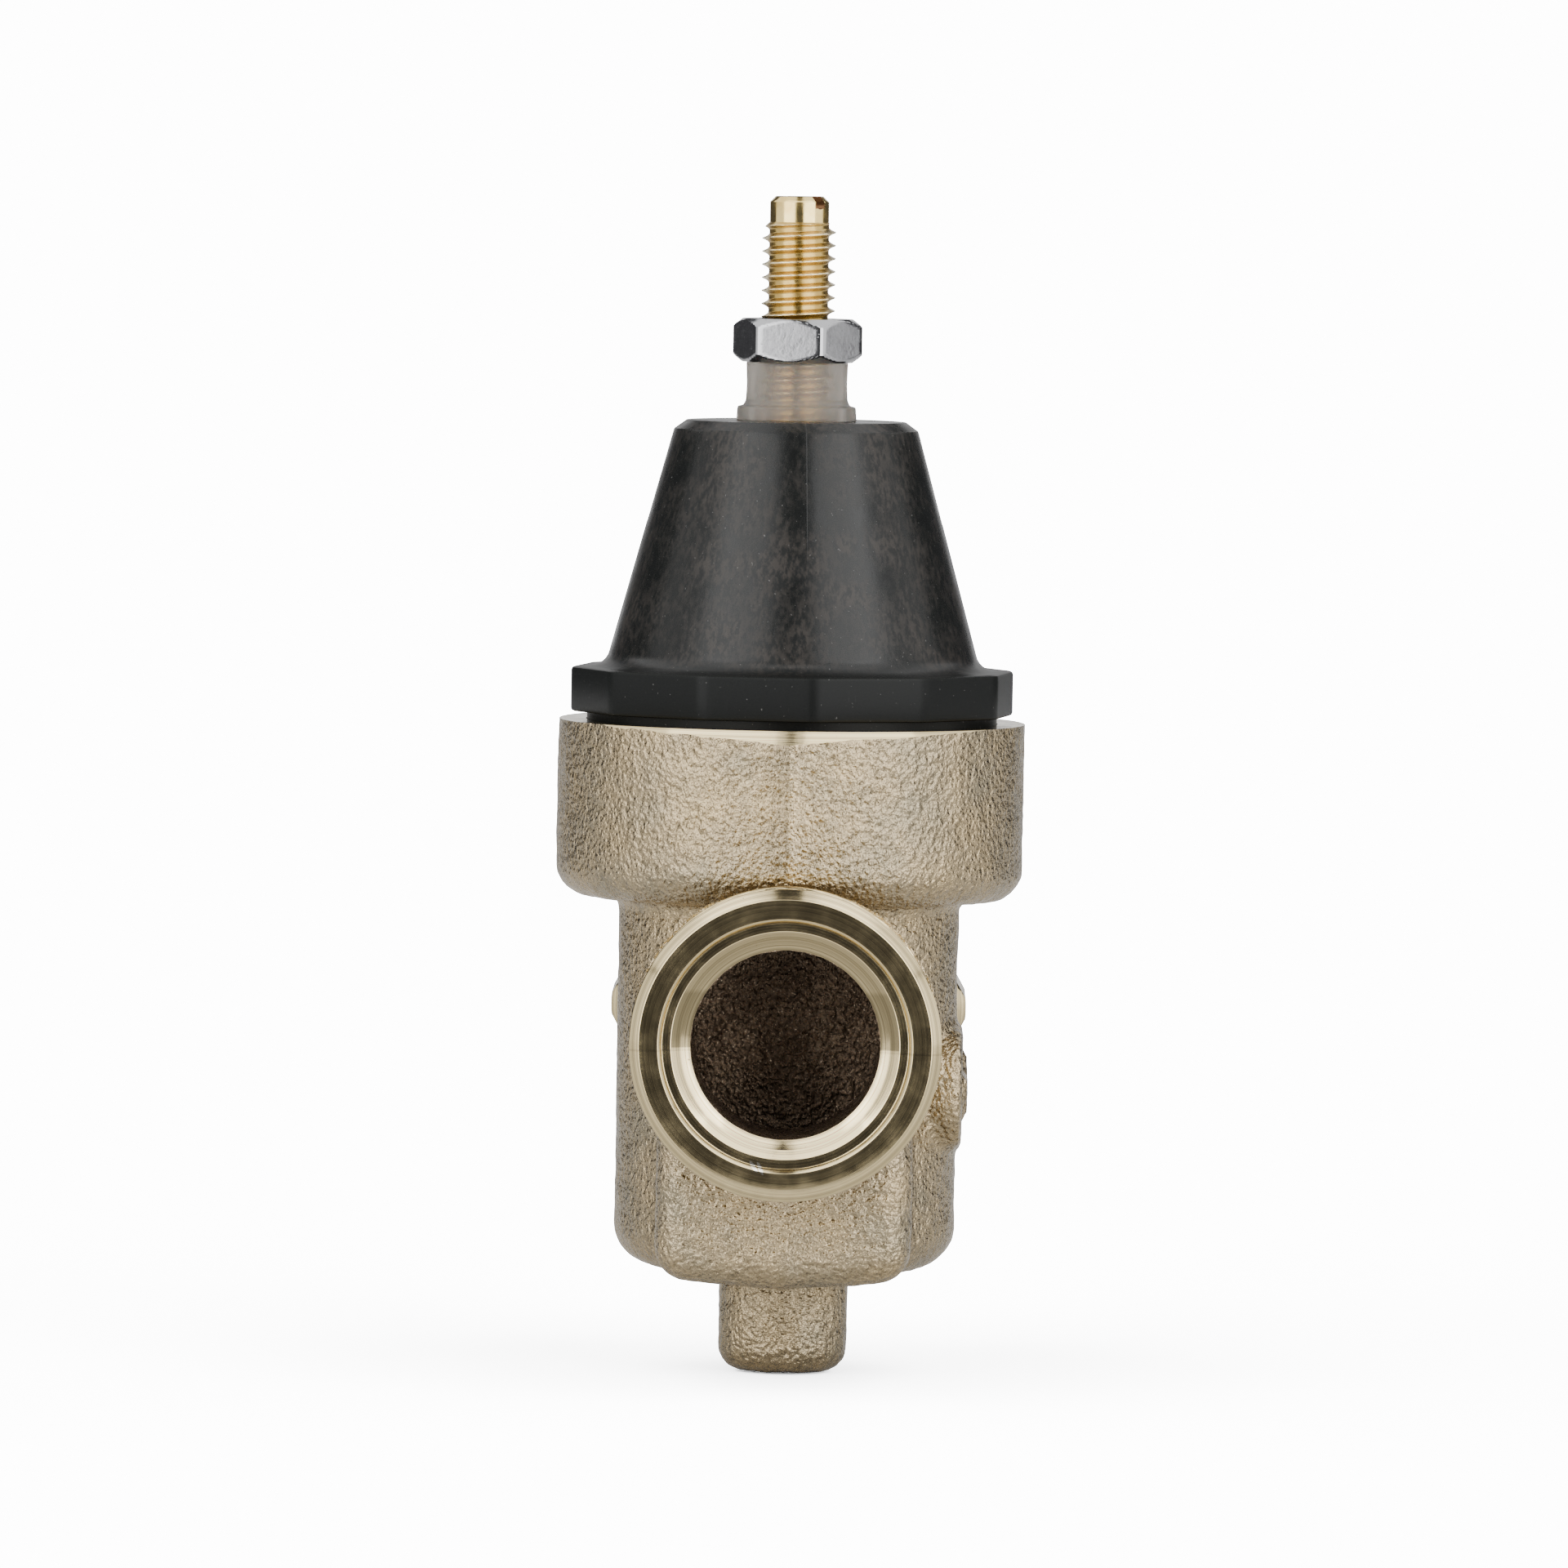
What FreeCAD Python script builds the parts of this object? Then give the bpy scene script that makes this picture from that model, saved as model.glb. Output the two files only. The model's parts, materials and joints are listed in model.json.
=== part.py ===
import FreeCAD, Part
import math
import os
import re
import Sketcher

# Direct-acting pressure regulator with a threaded union inlet, a hexagonal threaded outlet,
# a bell-shaped spring cage and an adjusting screw with a jam nut.
#
# Millimetres.  The origin is the centre of the inlet's end face.  +Y is the direction of flow
# and +Z points up the adjusting screw.  Every sub-part is drawn about the vertical axis of the
# valve, with its own zero height on the flow axis, and then placed inlet_reach along +Y.

SIZES = {
    # Shared
    "overcut": (1.0, "how far an outline runs past the surface it cuts or joins"),
    "fit_gap": (0.05, "gap in close fits"),
    "small_chamfer": (0.4, "chamfer of small turned edges"),
    # Casting
    "inlet_reach": (40.0, "vertical axis to inlet end face"),
    "outlet_reach": (45.0, "vertical axis to outlet end face"),
    "rim_height": (32.65, "top face of the casting"),
    "rim_chamfer": (0.75, "chamfer round the top face"),
    "upper_radius": (25.15, "upper barrel"),
    "shoulder_height": (13.6, "underside of the upper barrel"),
    "shoulder_round": (3.3, "rounding under the upper barrel"),
    "lower_radius": (18.35, "lower barrel"),
    "lower_bottom": (-26.8, "bottom of the lower barrel"),
    "bottom_round": (4.0, "rounding at the bottom edge"),
    "boss_radius": (6.95, "bottom boss"),
    "boss_bottom": (-37.6, "end of the bottom boss"),
    "boss_round": (2.5, "rounding of the boss end"),
    "neck_fillet": (1.2, "inside corner under the upper barrel"),
    "duct_half_width": (13.65, "half width of the inlet duct"),
    "duct_bottom": (-26.6, "underside of the inlet duct"),
    "duct_drop": (0.9, "centre of the duct's round top below the flow axis"),
    "duct_front": (25.0, "vertical axis to the front of the inlet duct"),
    "duct_round": (3.2, "rounding of the duct's edges"),
    # Inlet union end
    "union_radius": (16.6, "outside of the union thread"),
    "union_length": (13.0, "length of the threaded union end"),
    "union_chamfer": (1.1, "chamfer at the union end"),
    "union_run_out": (1.5, "length of the slope behind the union thread"),
    "union_drop": (1.6, "fall of that slope"),
    "recess_radius": (13.06, "gasket recess"),
    "recess_depth": (1.5, "depth of the gasket recess"),
    "recess_floor": (12.1, "inner edge of the recess floor"),
    "countersink_radius": (11.1, "start of the inner countersink"),
    "countersink_depth": (2.3, "depth where the countersink starts"),
    "bore_radius": (10.03, "cast flow passages"),
    "bore_depth": (2.9, "depth where the cast inlet bore starts"),
    # Outlet end
    "hex_flats": (34.9, "across the flats of the outlet hexagon"),
    "hex_front": (27.0, "vertical axis to the hexagon"),
    "hex_trim": (19.5, "radius that trims the hexagon's corners"),
    "hex_chamfer": (1.2, "length of the chamfers at the hexagon's ends"),
    "hex_drop": (1.6, "fall of those chamfers"),
    "outlet_neck_radius": (15.0, "neck between barrel and hexagon"),
    "tapping_radius": (12.05, "outlet pipe tapping"),
    "tapping_length": (14.0, "depth of the outlet tapping"),
    "tapping_chamfer": (1.4, "lead-in of the outlet tapping"),
    # Casting marks on the right side
    "pad_rise": (0.6, "raised oval pad"),
    "pad_root": (2.5, "how deep the marks start inside the barrel"),
    "pad_centre": (-6.6, "height of the pad's centre"),
    "pad_half_height": (6.4, "half height of the pad"),
    "pad_half_length": (11.0, "half length of the pad along the flow"),
    "pad_round": (6.0, "rounding of the pad's ends"),
    "arrow_half_length": (7.5, "half length of the raised flow arrow"),
    "arrow_head": (3.4, "half height of the arrow head"),
    "arrow_shaft": (1.2, "half height of the arrow shaft"),
    # Water ways inside the casting
    "partition_inner": (9.0, "bore for the seat module"),
    "partition_outer": (12.0, "outside of the wall round the module"),
    "chamber_radius": (15.0, "lower chamber and the way behind the module"),
    "web": (3.0, "thickness of the level walls"),
    "partition_half": (13.0, "half height of the wall round the module"),
    "chamber_floor": (-23.0, "floor of the lower chamber"),
    "down_way_half": (9.5, "half width of the way down from the inlet"),
    "down_way_back": (13.0, "vertical axis to the end wall of the inlet bore"),
    "down_way_front": (21.5, "vertical axis to the front of the way down"),
    "way_angle": (160.0, "sweep of the way behind the module"),
    "pocket_radius": (4.5, "balance pocket in the boss"),
    "pocket_floor": (-35.2, "floor of the balance pocket"),
    "sensing_radius": (16.0, "floor of the sensing chamber"),
    "ledge_height": (21.5, "ledge under the diaphragm"),
    "sensing_step": (2.0, "height of the sensing chamber's straight wall"),
    "ledge_radius": (19.0, "inner edge of the ledge"),
    "rim_bore": (21.9, "bore round the diaphragm's rim"),
    "cage_tapping": (22.25, "tapping for the spring cage"),
    # Spring cage
    "spigot_radius": (22.15, "threaded spigot of the cage"),
    "spigot_bottom": (24.1, "lower end of the spigot"),
    "flange_bottom": (33.5, "underside of the cage flange"),
    "flange_top": (38.3, "top of the cage flange"),
    "flange_flats": (46.5, "across the flats of the twelve-sided flange"),
    "flange_turn": (6.24, "turn of a flange corner from the front"),
    "flange_edge": (0.4, "rounding of the flange edges"),
    "cone_base": (20.27, "cone radius at the flange"),
    "cone_top": (13.2, "cone radius at the top chamfer"),
    "cage_top": (65.1, "top of the cage"),
    "cage_top_radius": (11.8, "flat top of the cage"),
    "cage_chamfer": (1.0, "height of the top chamfer"),
    "cone_fillet": (1.8, "fillet between cone and flange"),
    "cage_bore": (16.8, "spring space in the cage"),
    "cage_bore_top": (11.5, "spring space under the roof"),
    "cage_bore_step": (0.7, "where the spring space starts to narrow, above the flange"),
    "cage_ceiling": (60.0, "underside of the cage's roof"),
    "vent_radius": (0.9, "vent hole in the roof"),
    "vent_depth": (7.0, "depth of the vent hole"),
    "vent_across": (9.6, "vent hole to the right of the axis"),
    "vent_back": (3.5, "vent hole behind the axis"),
    "insert_radius": (6.0, "seat for the threaded insert"),
    "insert_band": (1.6, "height of the insert's end bands"),
    "insert_groove": (0.7, "depth of the groove between those bands"),
    # Adjusting screw and what is on it
    "screw_radius": (3.95, "adjusting screw"),
    "screw_bore": (4.0, "tapping of insert and jam nut"),
    "screw_tip": (53.5, "lower end of the screw"),
    "tip_chamfer": (1.6, "chamfer of the lower end"),
    "screw_top": (89.3, "upper end of the screw"),
    "pilot_radius": (3.2, "plain end of the screw"),
    "pilot_length": (2.8, "length of the plain end"),
    "pilot_chamfer": (0.6, "chamfer of the plain end"),
    "slot_width": (1.3, "screwdriver slot"),
    "slot_depth": (1.4, "depth of the slot"),
    "slot_turn": (48.0, "turn of the slot from the front"),
    "nut_flats": (12.4, "across the flats of the jam nut"),
    "nut_bottom": (71.4, "underside of the jam nut"),
    "nut_height": (4.7, "height of the jam nut"),
    "nut_turn": (21.95, "turn of a nut corner from the front"),
    "nut_trim": (6.3, "radius of the nut's end chamfers"),
    "sleeve_radius": (5.5, "sleeve under the nut"),
    "sleeve_bore": (4.1, "bore of the sleeve"),
    "sleeve_flange": (6.5, "flange of the sleeve"),
    "sleeve_foot": (1.6, "height of the sleeve's flange"),
    "sleeve_draft": (0.1, "draft of the sleeve's flange"),
    # Range spring and its button
    "button_top": (54.5, "top of the spring button"),
    "button_rim": (52.0, "where the spring meets the button"),
    "button_radius": (10.8, "spring button"),
    "button_pilot": (7.6, "pilot inside the spring"),
    "pilot_drop": (2.0, "length of that pilot"),
    "button_chamfer": (1.0, "chamfer of the button's top"),
    "tip_seat": (0.02, "gap under the screw's lower end"),
    "spring_mean": (9.4, "mean radius of the range spring"),
    "spring_wire": (1.3, "wire radius of the range spring"),
    "spring_turns": (5.0, "turns of the range spring"),
    # Diaphragm group
    "cloth": (1.6, "thickness of the diaphragm and of the plates"),
    "slip_ring_height": (1.0, "thickness of the slip ring"),
    "diaphragm_radius": (21.7, "outside of the diaphragm"),
    "bead_inner": (15.7, "inner edge of the rolled bead"),
    "bead_outer": (18.6, "outer edge of the rolled bead"),
    "bead_rise": (0.9, "height of the rolled bead"),
    "upper_plate_radius": (15.3, "plate under the spring"),
    "upper_plate_wall": (2.4, "upturned rim of that plate"),
    "upper_plate_skin": (1.2, "thickness of that rim"),
    "lower_plate_radius": (14.8, "plate under the diaphragm"),
    "lower_plate_chamfer": (0.8, "chamfer of the lower plate"),
    "stem_nut_flats": (10.0, "across the flats of the stem nut"),
    "stem_nut_height": (4.2, "height of the stem nut"),
    # Stem group
    "stem_radius": (3.0, "stem"),
    "stem_thread": (2.4, "upper thread of the stem"),
    "stem_tail": (2.0, "lower thread of the stem"),
    "stem_top": (30.4, "upper end of the stem"),
    "stem_step": (-15.7, "shoulder over the disc washer"),
    "stem_end": (-21.4, "lower end of the stem"),
    "vent_way": (0.9, "balance way along the stem"),
    "cross_way": (0.8, "radius of the stem's cross hole"),
    "stem_chamfer": (0.5, "chamfer of the stem's upper end"),
    "cross_hole": (18.0, "height of the stem's cross hole"),
    "washer_radius": (4.4, "washer on the seat disc"),
    "disc_top": (-16.5, "top of the seat disc"),
    "disc_thickness": (2.5, "thickness of the seat disc"),
    "disc_radius": (6.55, "seat disc"),
    "holder_radius": (7.6, "disc holder"),
    "holder_bottom": (-22.7, "underside of the holder's cup"),
    "holder_lip": (-17.2, "lip of the holder's cup"),
    "piston_radius": (4.3, "balance piston"),
    "piston_end": (-28.0, "lower end of the balance piston"),
    "tail_pin": (2.0, "pin inside the poppet spring"),
    "tail_pin_length": (2.0, "length of that pin"),
    "poppet_mean": (3.2, "mean radius of the poppet spring"),
    "poppet_wire": (0.4, "wire radius of the poppet spring"),
    "poppet_turns": (3.5, "turns of the poppet spring"),
    # Seat module and strainer
    "module_radius": (8.9, "seat module"),
    "module_bore": (6.5, "water way through the module"),
    "module_flange": (11.0, "flange of the module"),
    "module_flange_height": (1.6, "thickness of that flange"),
    "module_bottom": (-14.0, "lower end of the module"),
    "module_step": (-10.5, "where the strainer fits over the module"),
    "hub_radius": (4.6, "stem guide in the module"),
    "hub_bore": (3.1, "bore of the stem guide"),
    "hub_height": (4.0, "height of the stem guide"),
    "spoke_width": (2.0, "spokes of the stem guide"),
    "spoke_root": (0.4, "how far the spokes run into the guide and the tube"),
    "seat_bore": (5.4, "bore of the seat ring"),
    "seat_radius": (7.2, "outside of the seat ring"),
    "seat_height": (2.5, "height of the seat ring"),
    "seat_lip": (0.5, "height of the seating edge"),
    "seat_land": (0.5, "width of the seating edge"),
    "o_ring_wire": (0.85, "section radius of the module's rings"),
    "o_ring_groove": (7.2, "floor of the module's ring grooves"),
    "groove_play": (0.25, "room above and below a ring in its groove"),
    "upper_ring": (9.5, "height of the upper ring"),
    "lower_ring": (-7.5, "height of the lower ring"),
    "balance_wire": (0.75, "section radius of the balance ring"),
    "balance_ring": (-25.4, "height of the balance ring"),
    "strainer_inner": (8.45, "inside of the strainer"),
    "strainer_skin": (0.4, "thickness of the strainer"),
    "strainer_top": (-11.0, "upper end of the strainer"),
    "strainer_columns": (20.0, "columns of holes round the strainer"),
    "strainer_hole": (0.75, "radius of the strainer's holes"),
    "strainer_first": (1.6, "lowest row of holes above the chamber floor"),
    "strainer_row": (2.1, "height between the rows of holes"),
}

STRAINER_ROWS = 4
VERTICAL = "V_Axis"
LEVEL = "H_Axis"

doc = FreeCAD.newDocument("PressureRegulator")
sheet = doc.addObject("Spreadsheet::Sheet", "Sizes")
for row, (alias, (size, meaning)) in enumerate(SIZES.items(), start=1):
    sheet.set(f"A{row}", meaning)
    sheet.set(f"B{row}", str(size))
    sheet.setAlias(f"B{row}", alias)
doc.recompute()


def bound(formula):
    """The formula with each size's name turned into a reference to its cell."""
    return re.sub(
        r"[a-z_]+",
        lambda word: f"Sizes.{word.group()}" if word.group() in SIZES else word.group(),
        formula,
    )


def start_body(label):
    """A new sub-part about the vertical axis, placed inlet_reach along the flow."""
    body = doc.addObject("PartDesign::Body", label)
    body.Label = label
    body.setExpression("Placement.Base.y", bound("inlet_reach"))
    return body


def start_sketch(body, plane, offset="0"):
    """A sketch on one of the body's own origin planes; XZ offsets run towards the inlet."""
    sketch = body.newObject("Sketcher::SketchObject", f"{body.Label}_sketch")
    sketch.AttachmentSupport = [
        (part, "") for part in body.Origin.OriginFeatures if part.Role == plane
    ]
    sketch.MapMode = "FlatFace"
    sketch.setExpression("AttachmentOffset.Base.z", bound(offset))
    return sketch


def value(sketch, formula):
    return float(sketch.evalExpression(bound(formula)))


def pin_down(sketch, edge, end, place):
    """Hold a point of an edge at a place, given as two formulas from the sketch's origin."""
    for kind, axis, formula in zip(("DistanceX", "DistanceY"), (-2, -1), place):
        if formula == "0":
            sketch.addConstraint(Sketcher.Constraint("PointOnObject", edge, end, axis))
            continue
        distance = value(sketch, formula)
        index = sketch.addConstraint(Sketcher.Constraint(kind, -1, 1, edge, end, distance))
        sketch.setExpression(f"Constraints[{index}]", bound(formula))


def draw_outline(sketch, points):
    """A closed outline of straight edges.  A point is (x, y) or (x, y, radius of its rounding)."""
    corners = [FreeCAD.Vector(value(sketch, x), value(sketch, y), 0) for x, y, *_ in points]
    ways = [(end - start).normalize() for start, end in zip(corners, corners[1:] + corners[:1])]
    roundings = [value(sketch, rest[0]) if rest else 0.0 for _, _, *rest in points]
    # setbacks: how far each rounding starts from its corner, along both edges
    setbacks = [
        radius * math.tan(ways[step - 1].getAngle(ways[step]) / 2)
        for step, radius in enumerate(roundings)
    ]
    lines = []
    for step, way in enumerate(ways):
        following = (step + 1) % len(points)
        start = corners[step] + way * setbacks[step]
        end = corners[following] - way * setbacks[following]
        lines.append(sketch.addGeometry(Part.LineSegment(start, end), False))
    for step, point in enumerate(points):
        before, after = lines[step - 1], lines[step]
        if not roundings[step]:
            sketch.addConstraint(Sketcher.Constraint("Coincident", before, 2, after, 1))
            pin_down(sketch, after, 1, point[:2])
            continue
        corner = sketch.addGeometry(Part.Point(corners[step]), True)
        pin_down(sketch, corner, 1, point[:2])
        for line in (before, after):
            sketch.addConstraint(Sketcher.Constraint("PointOnObject", corner, 1, line))
        left_turn = ways[step - 1].cross(ways[step]).z > 0
        round_corner(sketch, before, after, roundings[step], point[2], left_turn)
    return sketch


def round_corner(sketch, before, after, radius, formula, left_turn):
    """An arc that leaves one straight edge and joins the next, tangent to both."""
    start = sketch.Geometry[before].EndPoint
    end = sketch.Geometry[after].StartPoint
    way = (start - sketch.Geometry[before].StartPoint).normalize()
    side = FreeCAD.Vector(-way.y, way.x, 0) * (radius if left_turn else -radius)
    centre = start + side
    first, last = (start, end) if left_turn else (end, start)
    angles = [math.atan2(spot.y - centre.y, spot.x - centre.x) for spot in (first, last)]
    circle = Part.Circle(centre, FreeCAD.Vector(0, 0, 1), radius)
    arc = sketch.addGeometry(Part.ArcOfCircle(circle, *angles), False)
    ends = (1, 2) if left_turn else (2, 1)
    sketch.addConstraint(Sketcher.Constraint("Tangent", before, 2, arc, ends[0]))
    sketch.addConstraint(Sketcher.Constraint("Tangent", arc, ends[1], after, 1))
    index = sketch.addConstraint(Sketcher.Constraint("Radius", arc, radius))
    sketch.setExpression(f"Constraints[{index}]", bound(formula))


def draw_circle(sketch, place, radius):
    centre = FreeCAD.Vector(value(sketch, place[0]), value(sketch, place[1]), 0)
    circle = Part.Circle(centre, FreeCAD.Vector(0, 0, 1), value(sketch, radius))
    edge = sketch.addGeometry(circle, False)
    index = sketch.addConstraint(Sketcher.Constraint("Radius", edge, value(sketch, radius)))
    sketch.setExpression(f"Constraints[{index}]", bound(radius))
    pin_down(sketch, edge, 3, place)
    return sketch


def box_points(left, right, low, high):
    return [(left, low), (right, low), (right, high), (left, high)]


def polygon_points(sides, flats, turn):
    """Corners of a regular polygon on the XY plane, turned from the front towards +X."""
    corner = f"{flats} / 2 / cos(180 / {sides})"
    return [
        (
            f"{corner} * sin({turn} + {360 / sides * step})",
            f"-1 * {corner} * cos({turn} + {360 / sides * step})",
        )
        for step in range(sides)
    ]


def turn_profile(body, sketch, axis=VERTICAL, cut=False, angle="360"):
    """Revolve the sketch about an axis of its own; a part turn is centred on the sketch."""
    kind = "Groove" if cut else "Revolution"
    feature = body.newObject(f"PartDesign::{kind}", f"{body.Label}_turned")
    feature.Profile = sketch
    feature.ReferenceAxis = (sketch, [axis])
    feature.setExpression("Angle", bound(angle))
    feature.Midplane = angle != "360"
    return feature


def extrude(body, sketch, length, cut=False, backwards=False, both_ways=False):
    kind = "Pocket" if cut else "Pad"
    feature = body.newObject(f"PartDesign::{kind}", f"{body.Label}_extruded")
    feature.Profile = sketch
    feature.setExpression("Length", bound(length))
    feature.Reversed = backwards
    if both_ways:
        feature.SideType = "Symmetric"
    return feature


def round_edges(body, radius, chosen):
    """Fillet those edges of the body so far for which chosen(edge) is true."""
    doc.recompute()
    base = body.Tip
    names = [
        f"Edge{number}" for number, edge in enumerate(base.Shape.Edges, start=1) if chosen(edge)
    ]
    if not names:
        raise RuntimeError(f"no edge to round on {body.Label}")
    fillet = body.newObject("PartDesign::Fillet", f"{body.Label}_rounded")
    fillet.Base = (base, names)
    fillet.setExpression("Radius", bound(radius))
    return fillet


def size_of(alias):
    return SIZES[alias][0]


def near(first, second):
    return abs(first - second) < 0.01


def turned_body(label, profile):
    """A sub-part that is one profile, as radius and height, turned about the vertical axis."""
    body = start_body(label)
    turn_profile(body, draw_outline(start_sketch(body, "XZ_Plane"), profile))
    return body


def turned_ring(label, section, mean, height):
    """A ring of round section."""
    body = start_body(label)
    turn_profile(body, draw_circle(start_sketch(body, "XZ_Plane"), (mean, height), section))
    return body


def hexagon_nut(label, flats, bore, bottom, height, turn, trim):
    """A hexagon nut whose corners are taken off by a cone at each end."""
    body = start_body(label)
    outline = draw_outline(start_sketch(body, "XY_Plane", bottom), polygon_points(6, flats, turn))
    draw_circle(outline, ("0", "0"), bore)
    extrude(body, outline, height)
    corner = f"{flats} / 2 / cos(30)"
    rim = f"({corner} + overcut)"
    drop = f"({rim} - {trim}) * tan(30)"
    for end, inwards in ((bottom, "1"), (f"{bottom} + {height}", "-1")):
        cone = start_sketch(body, "XZ_Plane")
        draw_outline(
            cone,
            [
                (trim, end),
                (rim, end),
                (rim, f"{end} + {inwards} * {drop}"),
            ],
        )
        turn_profile(body, cone, cut=True)
    return body


def wound_spring(label, mean, wire, turns, bottom, top):
    """A coil spring whose end turns touch the two heights."""
    body = start_body(label)
    section = draw_circle(start_sketch(body, "XZ_Plane"), (mean, f"{bottom} + {wire}"), wire)
    coil = body.newObject("PartDesign::AdditiveHelix", f"{label}_coil")
    coil.Profile = section
    coil.ReferenceAxis = (section, [VERTICAL])
    coil.Mode = "height-turns-angle"
    coil.setExpression("Height", bound(f"{top} - ({bottom}) - 2 * {wire}"))
    coil.setExpression("Turns", bound(turns))
    return body


def cast_outside(body):
    """The casting's barrels, duct and two ends, all solid."""
    # The inlet duct is a tube over a box of the same width, which leads down to the chamber.
    box = start_sketch(body, "XZ_Plane")
    sides = ("-1 * duct_half_width", "duct_half_width", "duct_bottom", "-1 * duct_drop")
    draw_outline(box, box_points(*sides))
    extrude(body, box, "duct_front")
    tube = start_sketch(body, "XZ_Plane")
    extrude(body, draw_circle(tube, ("0", "-1 * duct_drop"), "duct_half_width"), "duct_front")

    def on_duct_floor(edge):
        """The two straight lower edges of the duct that run along the flow."""
        middle = edge.CenterOfMass
        along = near(abs(middle.x), size_of("duct_half_width"))
        return along and near(middle.z, size_of("duct_bottom"))

    def on_duct_front(edge):
        """Every edge round the duct's front face."""
        return all(near(corner.Point.y, -size_of("duct_front")) for corner in edge.Vertexes)

    round_edges(body, "duct_round", on_duct_floor)
    round_edges(body, "duct_round", on_duct_front)

    barrel = [
        ("0", "boss_bottom"),
        ("boss_radius", "boss_bottom", "boss_round"),
        ("boss_radius", "lower_bottom"),
        ("lower_radius", "lower_bottom", "bottom_round"),
        ("lower_radius", "shoulder_height", "neck_fillet"),
        ("upper_radius", "shoulder_height", "shoulder_round"),
        ("upper_radius", "rim_height - rim_chamfer"),
        ("upper_radius - rim_chamfer", "rim_height"),
        ("0", "rim_height"),
    ]
    turn_profile(body, draw_outline(start_sketch(body, "XZ_Plane"), barrel))

    # Along the flow axis: x is the distance downstream of the vertical axis, y is the radius.
    union = [
        ("-1 * inlet_reach", "0"),
        ("-1 * inlet_reach", "union_radius - union_chamfer"),
        ("-1 * inlet_reach + union_chamfer", "union_radius"),
        ("-1 * inlet_reach + union_length", "union_radius"),
        ("-1 * inlet_reach + union_length + union_run_out", "union_radius - union_drop"),
        ("-1 * duct_front + duct_round", "duct_half_width - union_drop"),
        ("-1 * duct_front + duct_round", "0"),
    ]
    turn_profile(body, draw_outline(start_sketch(body, "YZ_Plane"), union), axis=LEVEL)
    neck = start_sketch(body, "XZ_Plane")
    draw_circle(neck, ("0", "0"), "outlet_neck_radius")
    extrude(body, neck, "hex_front + overcut", backwards=True)
    hexagon = start_sketch(body, "XZ_Plane", "-1 * hex_front")
    draw_outline(hexagon, polygon_points(6, "hex_flats", "90"))
    extrude(body, hexagon, "outlet_reach - hex_front", backwards=True)
    # The corners are turned off to hex_trim, and more at the two ends.
    for low, high, rise in (
        ("hex_front", "hex_front + hex_chamfer", "-1 * hex_drop"),
        ("hex_front - overcut", "outlet_reach + overcut", "0"),
        ("outlet_reach", "outlet_reach - hex_chamfer", "-1 * hex_drop"),
    ):
        trim = [
            (low, f"hex_trim + {rise}"),
            (high, "hex_trim"),
            (high, "hex_trim + 2 * overcut"),
            (low, "hex_trim + 2 * overcut"),
        ]
        turn_profile(
            body, draw_outline(start_sketch(body, "YZ_Plane"), trim), axis=LEVEL, cut=True
        )


def side_marks(body):
    """A raised oval pad with a flow arrow on the right side, in place of cast lettering."""
    pad = start_sketch(body, "YZ_Plane", "lower_radius - pad_root")
    sides = box_points(
        "-1 * pad_half_length",
        "pad_half_length",
        "pad_centre - pad_half_height",
        "pad_centre + pad_half_height",
    )
    draw_outline(pad, [(*corner, "pad_round") for corner in sides])
    extrude(body, pad, "pad_root + pad_rise")
    arrow = start_sketch(body, "YZ_Plane", "lower_radius - pad_root")
    neck = "arrow_half_length - 2 * arrow_head"
    draw_outline(
        arrow,
        [
            ("-1 * arrow_half_length", "pad_centre - arrow_shaft"),
            (neck, "pad_centre - arrow_shaft"),
            (neck, "pad_centre - arrow_head"),
            ("arrow_half_length", "pad_centre"),
            (neck, "pad_centre + arrow_head"),
            (neck, "pad_centre + arrow_shaft"),
            ("-1 * arrow_half_length", "pad_centre + arrow_shaft"),
        ],
    )
    extrude(body, arrow, "pad_root + 2 * pad_rise")


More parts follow.
